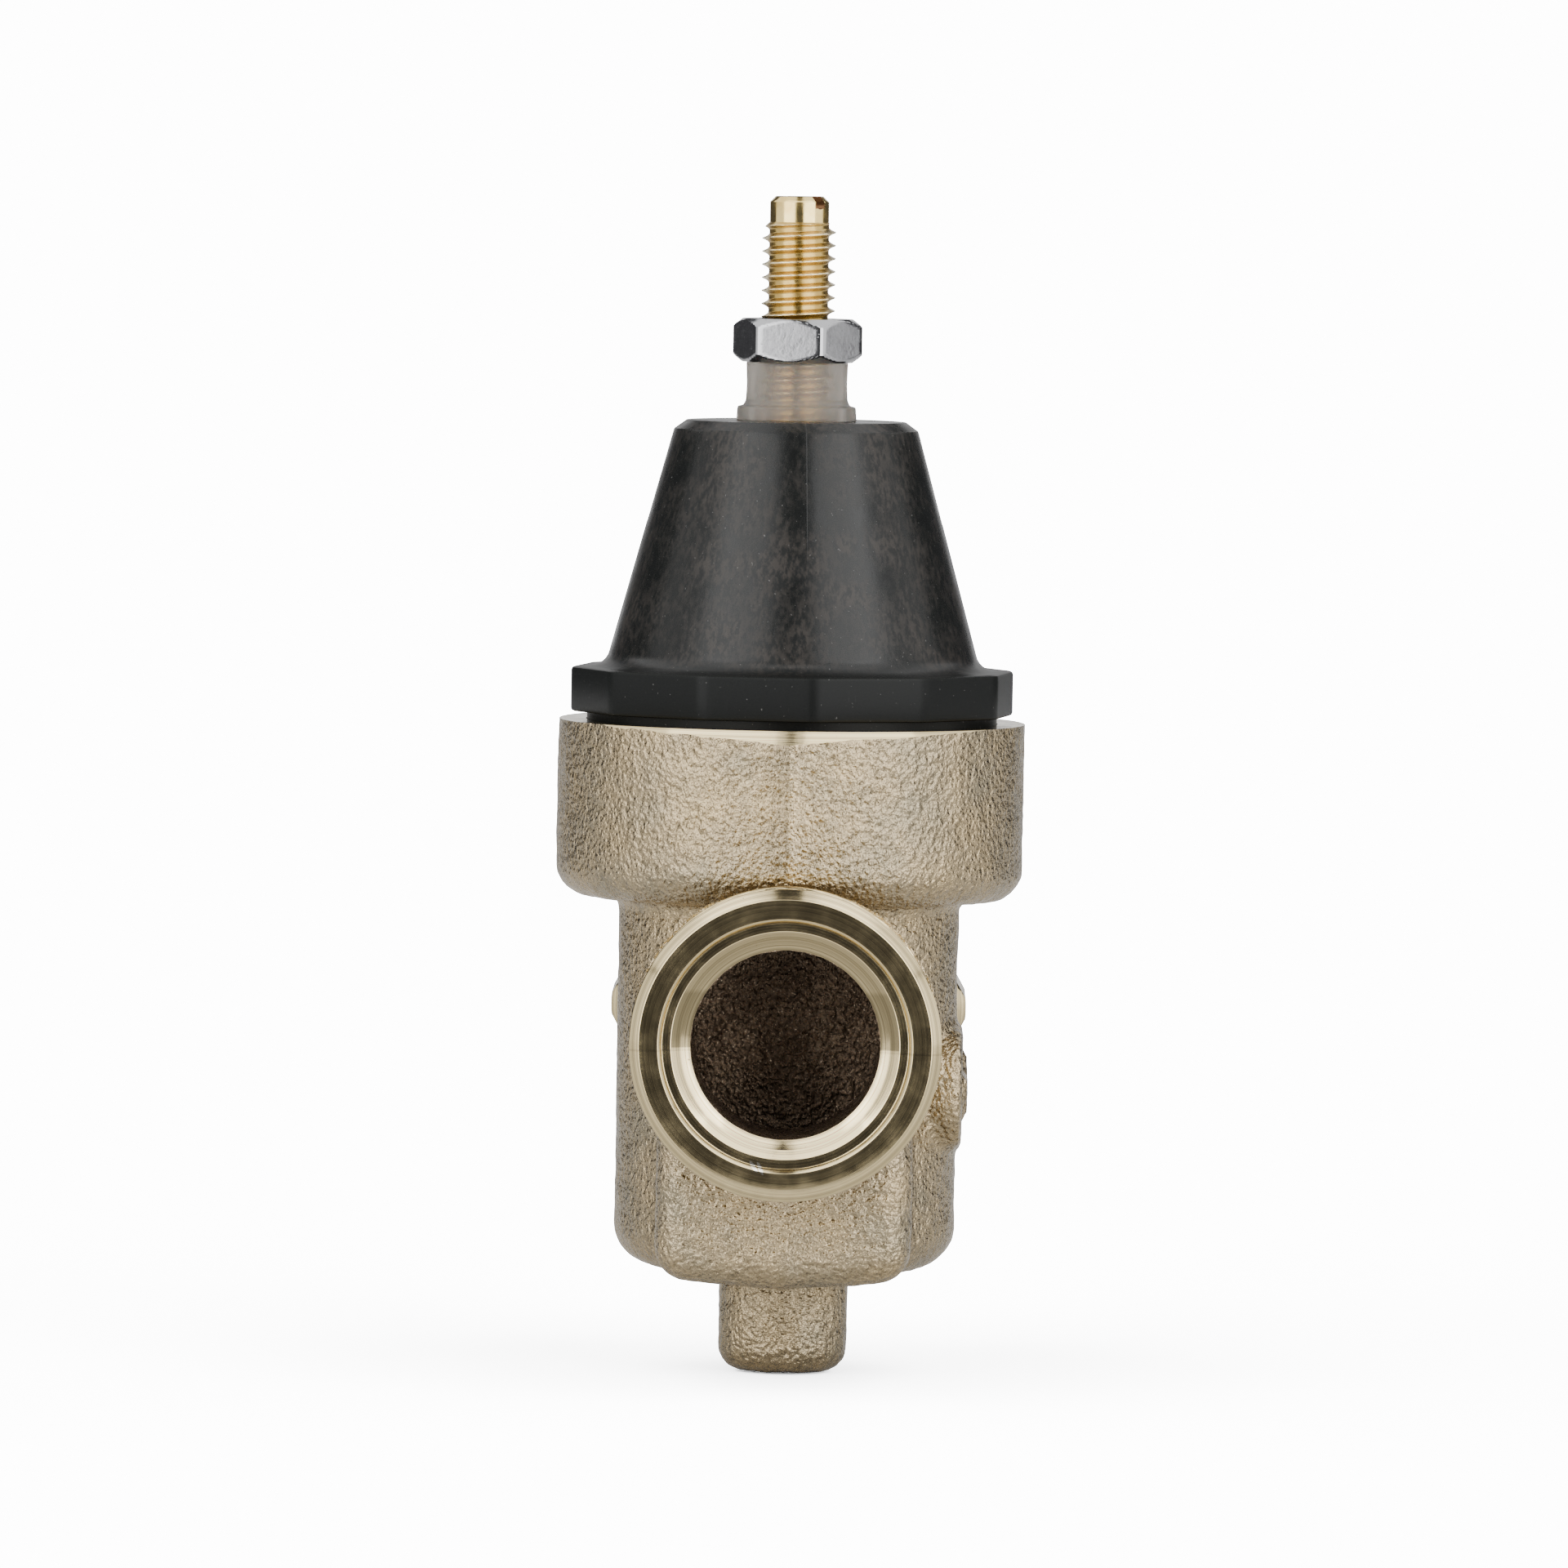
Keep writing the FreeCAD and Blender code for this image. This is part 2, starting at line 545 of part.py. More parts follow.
def water_ways(body):
    """The inlet turns down into the lower chamber, and the outlet leaves behind the module."""
    inlet = [
        ("-1 * inlet_reach - overcut", "0"),
        ("-1 * inlet_reach - overcut", "recess_radius + small_chamfer"),
        ("-1 * inlet_reach", "recess_radius + small_chamfer"),
        ("-1 * inlet_reach + small_chamfer", "recess_radius"),
        ("-1 * inlet_reach + recess_depth", "recess_radius"),
        ("-1 * inlet_reach + recess_depth", "recess_floor"),
        ("-1 * inlet_reach + countersink_depth", "countersink_radius"),
        ("-1 * inlet_reach + bore_depth", "bore_radius"),
        ("-1 * down_way_back", "bore_radius"),
        ("-1 * down_way_back", "0"),
    ]
    turn_profile(
        body, draw_outline(start_sketch(body, "YZ_Plane"), inlet), axis=LEVEL, cut=True
    )
    outlet = [
        ("partition_outer + overcut", "0"),
        ("partition_outer + overcut", "bore_radius"),
        ("outlet_reach - tapping_length", "bore_radius"),
        ("outlet_reach - tapping_length", "tapping_radius"),
        ("outlet_reach - tapping_chamfer", "tapping_radius"),
        ("outlet_reach", "tapping_radius + tapping_chamfer"),
        ("outlet_reach + overcut", "tapping_radius + tapping_chamfer"),
        ("outlet_reach + overcut", "0"),
    ]
    turn_profile(
        body, draw_outline(start_sketch(body, "YZ_Plane"), outlet), axis=LEVEL, cut=True
    )
    upright = [
        ("0", "pocket_floor"),
        ("pocket_radius", "pocket_floor"),
        ("pocket_radius", "chamber_floor"),
        ("chamber_radius", "chamber_floor"),
        ("chamber_radius", "-1 * partition_half"),
        ("partition_inner", "-1 * partition_half"),
        ("partition_inner", "partition_half"),
        ("sensing_radius", "partition_half"),
        ("sensing_radius", "partition_half + sensing_step"),
        ("ledge_radius", "partition_half + sensing_step + ledge_radius - sensing_radius"),
        ("ledge_radius", "ledge_height"),
        ("rim_bore", "ledge_height"),
        ("rim_bore", "spigot_bottom"),
        ("cage_tapping", "spigot_bottom"),
        ("cage_tapping", "rim_height + overcut"),
        ("0", "rim_height + overcut"),
    ]
    turn_profile(body, draw_outline(start_sketch(body, "XZ_Plane"), upright), cut=True)
    down_way = start_sketch(body, "XZ_Plane", "down_way_back")
    draw_outline(
        down_way, box_points("-1 * down_way_half", "down_way_half", "chamber_floor", "0")
    )
    extrude(body, down_way, "down_way_front - down_way_back", cut=True, backwards=True)
    rear_way = start_sketch(body, "YZ_Plane")
    draw_outline(
        rear_way,
        box_points(
            "partition_outer", "chamber_radius", "web - partition_half", "partition_half + overcut"
        ),
    )
    turn_profile(body, rear_way, cut=True, angle="way_angle")


def body_casting():
    body = start_body("body_casting")
    cast_outside(body)
    side_marks(body)
    water_ways(body)


def spring_cage():
    body = start_body("spring_cage")
    outside = [
        ("0", "spigot_bottom"),
        ("spigot_radius", "spigot_bottom"),
        ("spigot_radius", "flange_bottom + overcut"),
        ("cone_base + cone_fillet", "flange_bottom + overcut"),
        ("cone_base + cone_fillet", "flange_top"),
        ("cone_base", "flange_top", "cone_fillet"),
        ("cone_top", "cage_top - cage_chamfer"),
        ("cage_top_radius", "cage_top"),
        ("0", "cage_top"),
    ]
    turn_profile(body, draw_outline(start_sketch(body, "XZ_Plane"), outside))
    flange = start_sketch(body, "XY_Plane", "flange_bottom")
    draw_outline(flange, polygon_points(12, "flange_flats", "flange_turn"))
    extrude(body, flange, "flange_top - flange_bottom")
    ends = (size_of("flange_bottom"), size_of("flange_top"))

    def flange_outline(edge):
        middle = edge.CenterOfMass
        straight = isinstance(edge.Curve, Part.Line)
        return straight and any(near(middle.z, end) for end in ends)

    round_edges(body, "flange_edge", flange_outline)
    inside = [
        ("0", "spigot_bottom - overcut"),
        ("cage_bore", "spigot_bottom - overcut"),
        ("cage_bore", "flange_top + cage_bore_step"),
        ("cage_bore_top", "cage_ceiling"),
        ("insert_radius", "cage_ceiling"),
        ("insert_radius", "cage_top + overcut"),
        ("0", "cage_top + overcut"),
    ]
    turn_profile(body, draw_outline(start_sketch(body, "XZ_Plane"), inside), cut=True)
    vent = start_sketch(body, "XY_Plane", "cage_top")
    draw_circle(vent, ("vent_across", "vent_back"), "vent_radius")
    extrude(body, vent, "vent_depth", cut=True)


def thread_insert():
    turned_body(
        "thread_insert",
        [
            ("screw_bore", "cage_ceiling"),
            ("insert_radius - fit_gap", "cage_ceiling"),
            ("insert_radius - fit_gap", "cage_ceiling + insert_band"),
            ("insert_radius - insert_groove", "cage_ceiling + insert_band + small_chamfer"),
            ("insert_radius - insert_groove", "cage_top - insert_band - small_chamfer"),
            ("insert_radius - fit_gap", "cage_top - insert_band"),
            ("insert_radius - fit_gap", "cage_top"),
            ("screw_bore", "cage_top"),
        ],
    )


def seal_sleeve():
    turned_body(
        "seal_sleeve",
        [
            ("sleeve_bore", "cage_top"),
            ("sleeve_flange", "cage_top"),
            ("sleeve_flange - sleeve_draft", "cage_top + sleeve_foot"),
            ("sleeve_radius", "cage_top + sleeve_foot"),
            ("sleeve_radius", "nut_bottom"),
            ("sleeve_bore", "nut_bottom"),
        ],
    )


def locknut():
    hexagon_nut(
        "locknut", "nut_flats", "screw_bore", "nut_bottom", "nut_height", "nut_turn", "nut_trim"
    )


def adjusting_screw():
    body = turned_body(
        "adjusting_screw",
        [
            ("0", "screw_tip"),
            ("screw_radius - tip_chamfer", "screw_tip"),
            ("screw_radius", "screw_tip + tip_chamfer"),
            ("screw_radius", "screw_top - pilot_length - screw_radius + pilot_radius"),
            ("pilot_radius", "screw_top - pilot_length"),
            ("pilot_radius", "screw_top - pilot_chamfer"),
            ("pilot_radius - pilot_chamfer", "screw_top"),
            ("0", "screw_top"),
        ],
    )
    # the slot is milled with a round floor
    half = "slot_width / 2"
    floor = f"screw_top - slot_depth + {half}"
    slot = start_sketch(body, "XZ_Plane")
    draw_outline(slot, box_points(f"-1 * {half}", half, floor, "screw_top + overcut"))
    extrude(body, slot, "4 * pilot_radius", cut=True, both_ways=True)
    groove = draw_circle(start_sketch(body, "XZ_Plane"), ("0", floor), half)
    extrude(body, groove, "4 * pilot_radius", cut=True, both_ways=True)
    body.setExpression("Placement.Rotation.Angle", bound("slot_turn"))


def spring_button():
    turned_body(
        "spring_button",
        [
            ("0", "button_rim - pilot_drop"),
            ("button_pilot", "button_rim - pilot_drop"),
            ("button_pilot", "button_rim"),
            ("button_radius", "button_rim"),
            ("button_radius", "button_top - button_chamfer"),
            ("button_radius - button_chamfer", "button_top"),
            ("screw_radius", "button_top"),
            ("screw_radius - tip_chamfer", "screw_tip - tip_seat"),
            ("0", "screw_tip - tip_seat"),
        ],
    )


def range_spring():
    wound_spring(
        "range_spring",
        "spring_mean",
        "spring_wire",
        "spring_turns",
        "ledge_height + 2 * cloth",
        "button_rim",
    )


def slip_ring():
    turned_body(
        "slip_ring",
        box_points(
            "ledge_radius",
            "diaphragm_radius",
            "ledge_height + cloth",
            "ledge_height + cloth + slip_ring_height",
        ),
    )


def diaphragm():
    bead = "(bead_outer - bead_inner) / 3"
    turned_body(
        "diaphragm",
        [
            ("stem_thread + fit_gap", "ledge_height"),
            ("bead_inner", "ledge_height"),
            (f"bead_inner + {bead}", "ledge_height + bead_rise"),
            (f"bead_outer - {bead}", "ledge_height + bead_rise"),
            ("bead_outer", "ledge_height"),
            ("diaphragm_radius", "ledge_height"),
            ("diaphragm_radius", "ledge_height + cloth"),
            ("bead_outer", "ledge_height + cloth"),
            (f"bead_outer - {bead}", "ledge_height + cloth + bead_rise"),
            (f"bead_inner + {bead}", "ledge_height + cloth + bead_rise"),
            ("bead_inner", "ledge_height + cloth"),
            ("stem_thread + fit_gap", "ledge_height + cloth"),
        ],
    )


def diaphragm_plate():
    turned_body(
        "diaphragm_plate",
        [
            ("stem_thread + fit_gap", "ledge_height + cloth"),
            ("upper_plate_radius", "ledge_height + cloth"),
            ("upper_plate_radius", "ledge_height + 2 * cloth + upper_plate_wall"),
            ("upper_plate_radius - upper_plate_skin", "ledge_height + 2 * cloth + upper_plate_wall"),
            ("upper_plate_radius - upper_plate_skin", "ledge_height + 2 * cloth"),
            ("stem_thread + fit_gap", "ledge_height + 2 * cloth"),
        ],
    )


def lower_plate():
    turned_body(
        "lower_plate",
        [
            ("stem_thread + fit_gap", "ledge_height - cloth"),
            ("lower_plate_radius - lower_plate_chamfer", "ledge_height - cloth"),
            ("lower_plate_radius", "ledge_height - cloth + lower_plate_chamfer"),
            ("lower_plate_radius", "ledge_height"),
            ("stem_thread + fit_gap", "ledge_height"),
        ],
    )


def stem_nut():
    hexagon_nut(
        "stem_nut",
        "stem_nut_flats",
        "stem_thread + fit_gap",
        "ledge_height + 2 * cloth",
        "stem_nut_height",
        "0",
        "stem_nut_flats / 2",
    )


def stem():
    body = turned_body(
        "stem",
        [
            ("vent_way", "stem_end"),
            ("stem_tail", "stem_end"),
            ("stem_tail", "stem_step"),
            ("stem_radius", "stem_step"),
            ("stem_radius", "ledge_height - cloth"),
            ("stem_thread", "ledge_height - cloth"),
            ("stem_thread", "stem_top - stem_chamfer"),
            ("stem_thread - stem_chamfer", "stem_top"),
            ("0", "stem_top"),
            ("0", "cross_hole"),
            ("vent_way", "cross_hole"),
        ],
    )
    across = draw_circle(start_sketch(body, "YZ_Plane"), ("0", "cross_hole"), "cross_way")
    extrude(body, across, "4 * stem_radius", cut=True, both_ways=True)


def disc_washer():
    turned_body(
        "disc_washer",
        box_points("stem_tail + fit_gap", "washer_radius", "disc_top", "stem_step"),
    )


def seat_disc():
    turned_body(
        "seat_disc",
        box_points(
            "stem_tail + fit_gap", "disc_radius", "disc_top - disc_thickness", "disc_top"
        ),
    )


def disc_holder():
    floor_height = "disc_top - disc_thickness"
    groove = "piston_radius + 2 * fit_gap - 2 * balance_wire"
    turned_body(
        "disc_holder",
        [
            ("vent_way", "piston_end - tail_pin_length"),
            ("tail_pin", "piston_end - tail_pin_length"),
            ("tail_pin", "piston_end"),
            ("piston_radius", "piston_end"),
            ("piston_radius", "balance_ring - balance_wire - groove_play"),
            (groove, "balance_ring - balance_wire - groove_play"),
            (groove, "balance_ring + balance_wire + groove_play"),
            ("piston_radius", "balance_ring + balance_wire + groove_play"),
            ("piston_radius", "holder_bottom"),
            ("holder_radius", "holder_bottom"),
            ("holder_radius", "holder_lip"),
            ("disc_radius + fit_gap", "holder_lip"),
            ("disc_radius + fit_gap", floor_height),
            ("stem_tail + fit_gap", floor_height),
            ("stem_tail + fit_gap", "stem_end - fit_gap"),
            ("vent_way", "stem_end - fit_gap"),
        ],
    )


def balance_o_ring():
    turned_ring(
        "balance_o_ring",
        "balance_wire",
        "pocket_radius - fit_gap - balance_wire",
        "balance_ring",
    )


def poppet_spring():
    wound_spring(
        "poppet_spring", "poppet_mean", "poppet_wire", "poppet_turns", "pocket_floor", "piston_end"
    )


def ring_groove(height):
    """The four corners of a ring groove in the module, from the bottom up."""
    low = f"{height} - o_ring_wire - groove_play"
    high = f"{height} + o_ring_wire + groove_play"
    return [
        ("module_radius", low),
        ("o_ring_groove", low),
        ("o_ring_groove", high),
        ("module_radius", high),
    ]


def seat_module():
    body = start_body("seat_module")
    flange_top = "partition_half + module_flange_height"
    tube = [
        ("seat_radius", "module_bottom"),
        ("strainer_inner - fit_gap", "module_bottom"),
        ("strainer_inner - fit_gap", "module_step"),
        ("module_radius", "module_step"),
        *ring_groove("lower_ring"),
        *ring_groove("upper_ring"),
        ("module_radius", "partition_half"),
        ("module_flange", "partition_half"),
        ("module_flange", flange_top),
        ("module_bore", flange_top),
        ("module_bore", "module_bottom + seat_height"),
        ("seat_radius", "module_bottom + seat_height"),
    ]
    turn_profile(body, draw_outline(start_sketch(body, "XZ_Plane"), tube))
    spoke = start_sketch(body, "XY_Plane", f"{flange_top} - hub_height")
    half = "spoke_width / 2"
    ends = ("hub_bore + spoke_root", "module_bore + spoke_root")
    draw_outline(spoke, box_points(*ends, f"-1 * {half}", half))
    bar = extrude(body, spoke, "hub_height")
    doc.recompute()
    spokes = body.newObject("PartDesign::PolarPattern", "module_spokes")
    spokes.Originals = [bar]
    spokes.Axis = (spoke, ["N_Axis"])
    spokes.Angle = 360
    spokes.Occurrences = 3
    body.Tip = spokes
    hub = box_points("hub_bore", "hub_radius", f"{flange_top} - hub_height", flange_top)
    turn_profile(body, draw_outline(start_sketch(body, "XZ_Plane"), hub))


def seat_ring():
    turned_body(
        "seat_ring",
        [
            ("seat_bore", "module_bottom - seat_lip"),
            ("seat_bore + seat_land", "module_bottom - seat_lip"),
            ("seat_bore + 2 * seat_land", "module_bottom"),
            ("seat_radius - fit_gap", "module_bottom"),
            ("seat_radius - fit_gap", "module_bottom + seat_height"),
            ("seat_bore", "module_bottom + seat_height"),
        ],
    )


def strainer_screen():
    body = turned_body(
        "strainer_screen",
        box_points(
            "strainer_inner",
            "strainer_inner + strainer_skin",
            "chamber_floor + fit_gap",
            "strainer_top",
        ),
    )
    column = start_sketch(body, "YZ_Plane")
    for step in range(STRAINER_ROWS):
        height = f"chamber_floor + strainer_first + {step} * strainer_row"
        draw_circle(column, ("0", height), "strainer_hole")
    holes = extrude(body, column, "strainer_inner + 2 * strainer_skin", cut=True, backwards=True)
    doc.recompute()
    pattern = body.newObject("PartDesign::PolarPattern", "strainer_columns_round")
    pattern.Originals = [holes]
    pattern.Axis = (column, [VERTICAL])
    pattern.Angle = 360
    pattern.setExpression("Occurrences", bound("strainer_columns"))
    body.Tip = pattern


body_casting()
spring_cage()
thread_insert()
seal_sleeve()
locknut()
adjusting_screw()
spring_button()
range_spring()
slip_ring()
diaphragm()
diaphragm_plate()
lower_plate()
stem_nut()
stem()
disc_washer()
seat_disc()
disc_holder()
balance_o_ring()
poppet_spring()
seat_module()
seat_ring()
for side in ("upper", "lower"):
    turned_ring(
        f"module_o_ring_{side}",
        "o_ring_wire",
        "module_radius + fit_gap - o_ring_wire",
        f"{side}_ring",
    )
strainer_screen()
doc.recompute()

failed = [item.Label for item in doc.Objects if {"Invalid", "Error"} & set(item.State)]
if failed:
    raise RuntimeError(f"these objects failed: {failed}")
sub_parts = [item for item in doc.Objects if item.TypeId == "PartDesign::Body"]
for part in sub_parts:
    if part.Shape.isNull() or not part.Shape.isValid() or len(part.Shape.Solids) != 1:
        raise RuntimeError(f"{part.Label} is not one valid solid")

os.makedirs("parts", exist_ok=True)
for part in sub_parts:
    part.Shape.exportStep(f"parts/{part.Label}.step")
    print(f"{part.Label}: {part.Shape.Volume:.1f} mm3")
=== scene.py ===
import json
import math

import bmesh
import bpy
import numpy as np
from mathutils import Matrix, Vector, noise


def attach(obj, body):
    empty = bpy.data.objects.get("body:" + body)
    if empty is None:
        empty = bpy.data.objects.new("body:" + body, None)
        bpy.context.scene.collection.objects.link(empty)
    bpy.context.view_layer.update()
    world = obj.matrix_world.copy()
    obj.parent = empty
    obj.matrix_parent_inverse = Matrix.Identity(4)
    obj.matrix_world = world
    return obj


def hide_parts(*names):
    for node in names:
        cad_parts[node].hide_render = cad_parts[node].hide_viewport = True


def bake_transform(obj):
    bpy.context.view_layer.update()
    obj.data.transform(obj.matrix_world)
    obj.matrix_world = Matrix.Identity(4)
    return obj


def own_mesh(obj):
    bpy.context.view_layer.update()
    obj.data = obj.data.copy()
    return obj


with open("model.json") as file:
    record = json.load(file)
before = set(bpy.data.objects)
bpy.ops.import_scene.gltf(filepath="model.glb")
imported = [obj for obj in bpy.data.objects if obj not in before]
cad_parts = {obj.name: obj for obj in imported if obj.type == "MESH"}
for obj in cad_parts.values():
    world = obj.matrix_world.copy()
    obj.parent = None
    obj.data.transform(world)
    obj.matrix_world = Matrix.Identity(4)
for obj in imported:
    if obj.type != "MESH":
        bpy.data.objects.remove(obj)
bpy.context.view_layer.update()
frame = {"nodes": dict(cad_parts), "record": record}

# Sizes are in millimetres until mesh_object turns them into metres.
MM = 0.001
REACH = 40.0          # inlet end face to the vertical axis
CENTRE = REACH * MM   # the vertical axis, in metres along the flow
RIM = 32.65           # top face of the casting
BEVEL = 25.5          # where the chamfer of the casting's rim starts
STEEP = 1.73          # fall of that chamfer for each millimetre outwards
FLOOR = -37.6         # lowest point of the valve
LIP = 2.9             # depth where the cast inlet bore starts
BORE = 10.03          # radius of the cast water ways
UNION_CREST = 16.6    # radius of the union thread's crest
UNION_END = 13.05     # length of the turned inlet end
ROOF = 65.1           # top face of the cage
SCREW_CREST = 3.99    # radius of the screw thread's crest
NUT_LOW, NUT_HIGH = 71.4, 76.1   # the jam nut's two faces
SCREW_PITCH = 25.4 / 18
UNION_PITCH = 25.4 / 11.5
OUTLET_PITCH = 25.4 / 14
SECTORS = 16          # pieces that the diaphragm is made of


# ---------------------------------------------------------------- meshes
def mesh_object(name, points, faces, sharp=35.0):
    """A smooth-shaded object from points in millimetres, with edges over `sharp` degrees kept."""
    mesh = bpy.data.meshes.new(name)
    mesh.from_pydata((np.asarray(points, float) * MM).tolist(), [], faces)
    mesh.update()
    finish_mesh(mesh, sharp)
    thing = bpy.data.objects.new(name, mesh)
    bpy.context.scene.collection.objects.link(thing)
    return thing


def finish_mesh(mesh, sharp):
    """Merges what coincides, turns the faces outwards and sets the shading."""
    work = bmesh.new()
    work.from_mesh(mesh)
    bmesh.ops.remove_doubles(work, verts=work.verts, dist=1e-7)
    bmesh.ops.dissolve_degenerate(work, dist=1e-7, edges=work.edges)
    bmesh.ops.recalc_face_normals(work, faces=work.faces)
    work.to_mesh(mesh)
    work.free()
    shade(mesh, sharp)


def shade(mesh, sharp=35.0):
    """Smooth shading with the edges over `sharp` degrees kept."""
    mesh.polygons.foreach_set("use_smooth", [True] * len(mesh.polygons))
    mesh.set_sharp_from_angle(angle=math.radians(sharp))


def place(along, radius, angle, height):
    """A point at an angle and height about the vertical axis or, for "y", about the flow axis."""
    if along == "z":
        return (radius * np.cos(angle), REACH + radius * np.sin(angle), height)
    return (radius * np.cos(angle), height, radius * np.sin(angle))


def grid_solid(name, rows, angles, along="z", sharp=35.0):
    """A solid of rows (radius, height); a radius is a number or a function of angles."""
    points = []
    for radius, height in rows:
        radii = radius(angles) if callable(radius) else np.full(len(angles), float(radius))
        heights = np.full(len(angles), float(height))
        points.append(np.stack(place(along, radii, angles, heights), axis=1))
    points = np.concatenate(points)
    count, width = len(rows), len(angles)
    faces = []
    for row in range(count):
        following = (row + 1) % count
        for step in range(width):
            turn = (step + 1) % width
            faces.append((row * width + step, row * width + turn,
                          following * width + turn, following * width + step))
    return mesh_object(name, points, faces, sharp)


def circle(count=160):
    """Even angles once round."""
    return np.arange(count) * (2 * math.pi / count)


def softened(profile, radius=0.12, steps=3):
    """A closed profile of (radius, height) with each real corner off the axis rounded."""
    rounded = []
    for index, here in enumerate(profile):
        before = Vector(profile[index - 1])
        after = Vector(profile[(index + 1) % len(profile)])
        corner = Vector(here)
        back, on = before - corner, after - corner
        if corner.x < 1e-6 or back.length < 1e-6 or on.length < 1e-6:
            rounded.append(tuple(corner))
            continue
        reach = min(radius, back.length * 0.4, on.length * 0.4)
        start, end = corner + back.normalized() * reach, corner + on.normalized() * reach
        for step in range(steps + 1):
            share = step / steps
            spot = (start * (1 - share) ** 2 + corner * (2 * share * (1 - share))
                    + end * share ** 2)
            rounded.append(tuple(spot))
    return rounded


def lathe(name, profile, along="z", count=160, round_by=0.12, sharp=35.0):
    """A turned solid from a closed profile of (radius, height)."""
    rows = softened(profile, round_by) if round_by else profile
    return grid_solid(name, rows, circle(count), along, sharp)


def polygon_radius(sides, flats, corner, trim=0.005):
    """Radius of a regular polygon at an angle; its corners lose the share `trim`."""
    def radius(angles):
        step = 2 * math.pi / sides
        off = np.mod(angles - corner, step)
        first = flats / 2 / np.cos(off - step / 2)
        limit = flats / 2 / math.cos(step / 2) * (1 - trim)
        return soft_least(first, limit, 0.1)
    return radius


def soft_least(first, second, blend):
    """The lesser of two values, with a rounded change-over."""
    gap = np.clip(0.5 + 0.5 * (second - first) / blend, 0, 1)
    return second * (1 - gap) + first * gap - blend * gap * (1 - gap)


def corner_angles(sides, corner, fine=10, coarse=8):
    """Angles round a polygon, closer together near its corners."""
    step = 2 * math.pi / sides
    near = np.linspace(-0.035, 0.035, fine)
    between = np.linspace(0.06, step - 0.06, coarse)
    one = np.concatenate([near, between])
    return np.sort(np.mod(np.concatenate([one + corner + step * k for k in range(sides)]),
                          2 * math.pi))


def thread_depth(height, angles, pitch, phase, depth, crest=0.06, root=1.0):
    """How far a right-handed thread's surface lies below its crest, with a flat at the root."""
    turn = np.mod(height / pitch - angles / (2 * math.pi) + phase, 1.0)
    away = np.abs(turn - 0.5) * 2
    share = np.clip((away - crest) / (root - crest), 0, 1)
    return depth * (1 - (1 - share) ** 2)


def subtract(target, cutter):
    """Cuts the cutter out of the target, and removes the cutter."""
    change = target.modifiers.new("cut", "BOOLEAN")
    change.operation = "DIFFERENCE"
    change.solver = "MANIFOLD"
    change.object = cutter
    apply_modifiers(target)
    bpy.data.objects.remove(cutter)


def apply_modifiers(thing):
    """Replaces the mesh with what its modifiers make of it."""
    bpy.context.view_layer.update()
    graph = bpy.context.evaluated_depsgraph_get()
    mesh = bpy.data.meshes.new_from_object(thing.evaluated_get(graph))
    thing.modifiers.clear()
    old = thing.data
    thing.data = mesh
    bpy.data.meshes.remove(old)


def box_object(name, low, high):
    """A box between two corners."""
    corners = [(x, y, z) for x in (low[0], high[0]) for y in (low[1], high[1])
               for z in (low[2], high[2])]
    faces = [(0, 1, 3, 2), (4, 6, 7, 5), (0, 4, 5, 1), (2, 3, 7, 6), (0, 2, 6, 4), (1, 5, 7, 3)]
    return mesh_object(name, corners, faces)


def read_points(mesh):
    """The mesh's vertices in millimetres."""
    points = np.empty(len(mesh.vertices) * 3)
    mesh.vertices.foreach_get("co", points)
    return points.reshape(-1, 3) / MM


def read_normals(mesh):
    """The normal at each vertex."""
    normals = np.empty(len(mesh.vertices) * 3)
    mesh.vertices.foreach_get("normal", normals)
    return normals.reshape(-1, 3)


def write_points(mesh, points):
    """Moves the mesh's vertices to places in millimetres."""
    mesh.vertices.foreach_set("co", (points * MM).ravel())
    mesh.update()


def grain(points, size, seed):
    """Smooth noise, about -1 to 1, with features of the given size in millimetres."""
    return np.array([noise.noise(Vector((p[0] / size + seed, p[1] / size, p[2] / size)))
                     for p in points]) * 1.6


def smoothstep(low, high, values):
    """0 below the one bound and 1 beyond the other, with an eased rise between."""
    share = np.clip((values - low) / (high - low), 0, 1)
    return share * share * (3 - 2 * share)


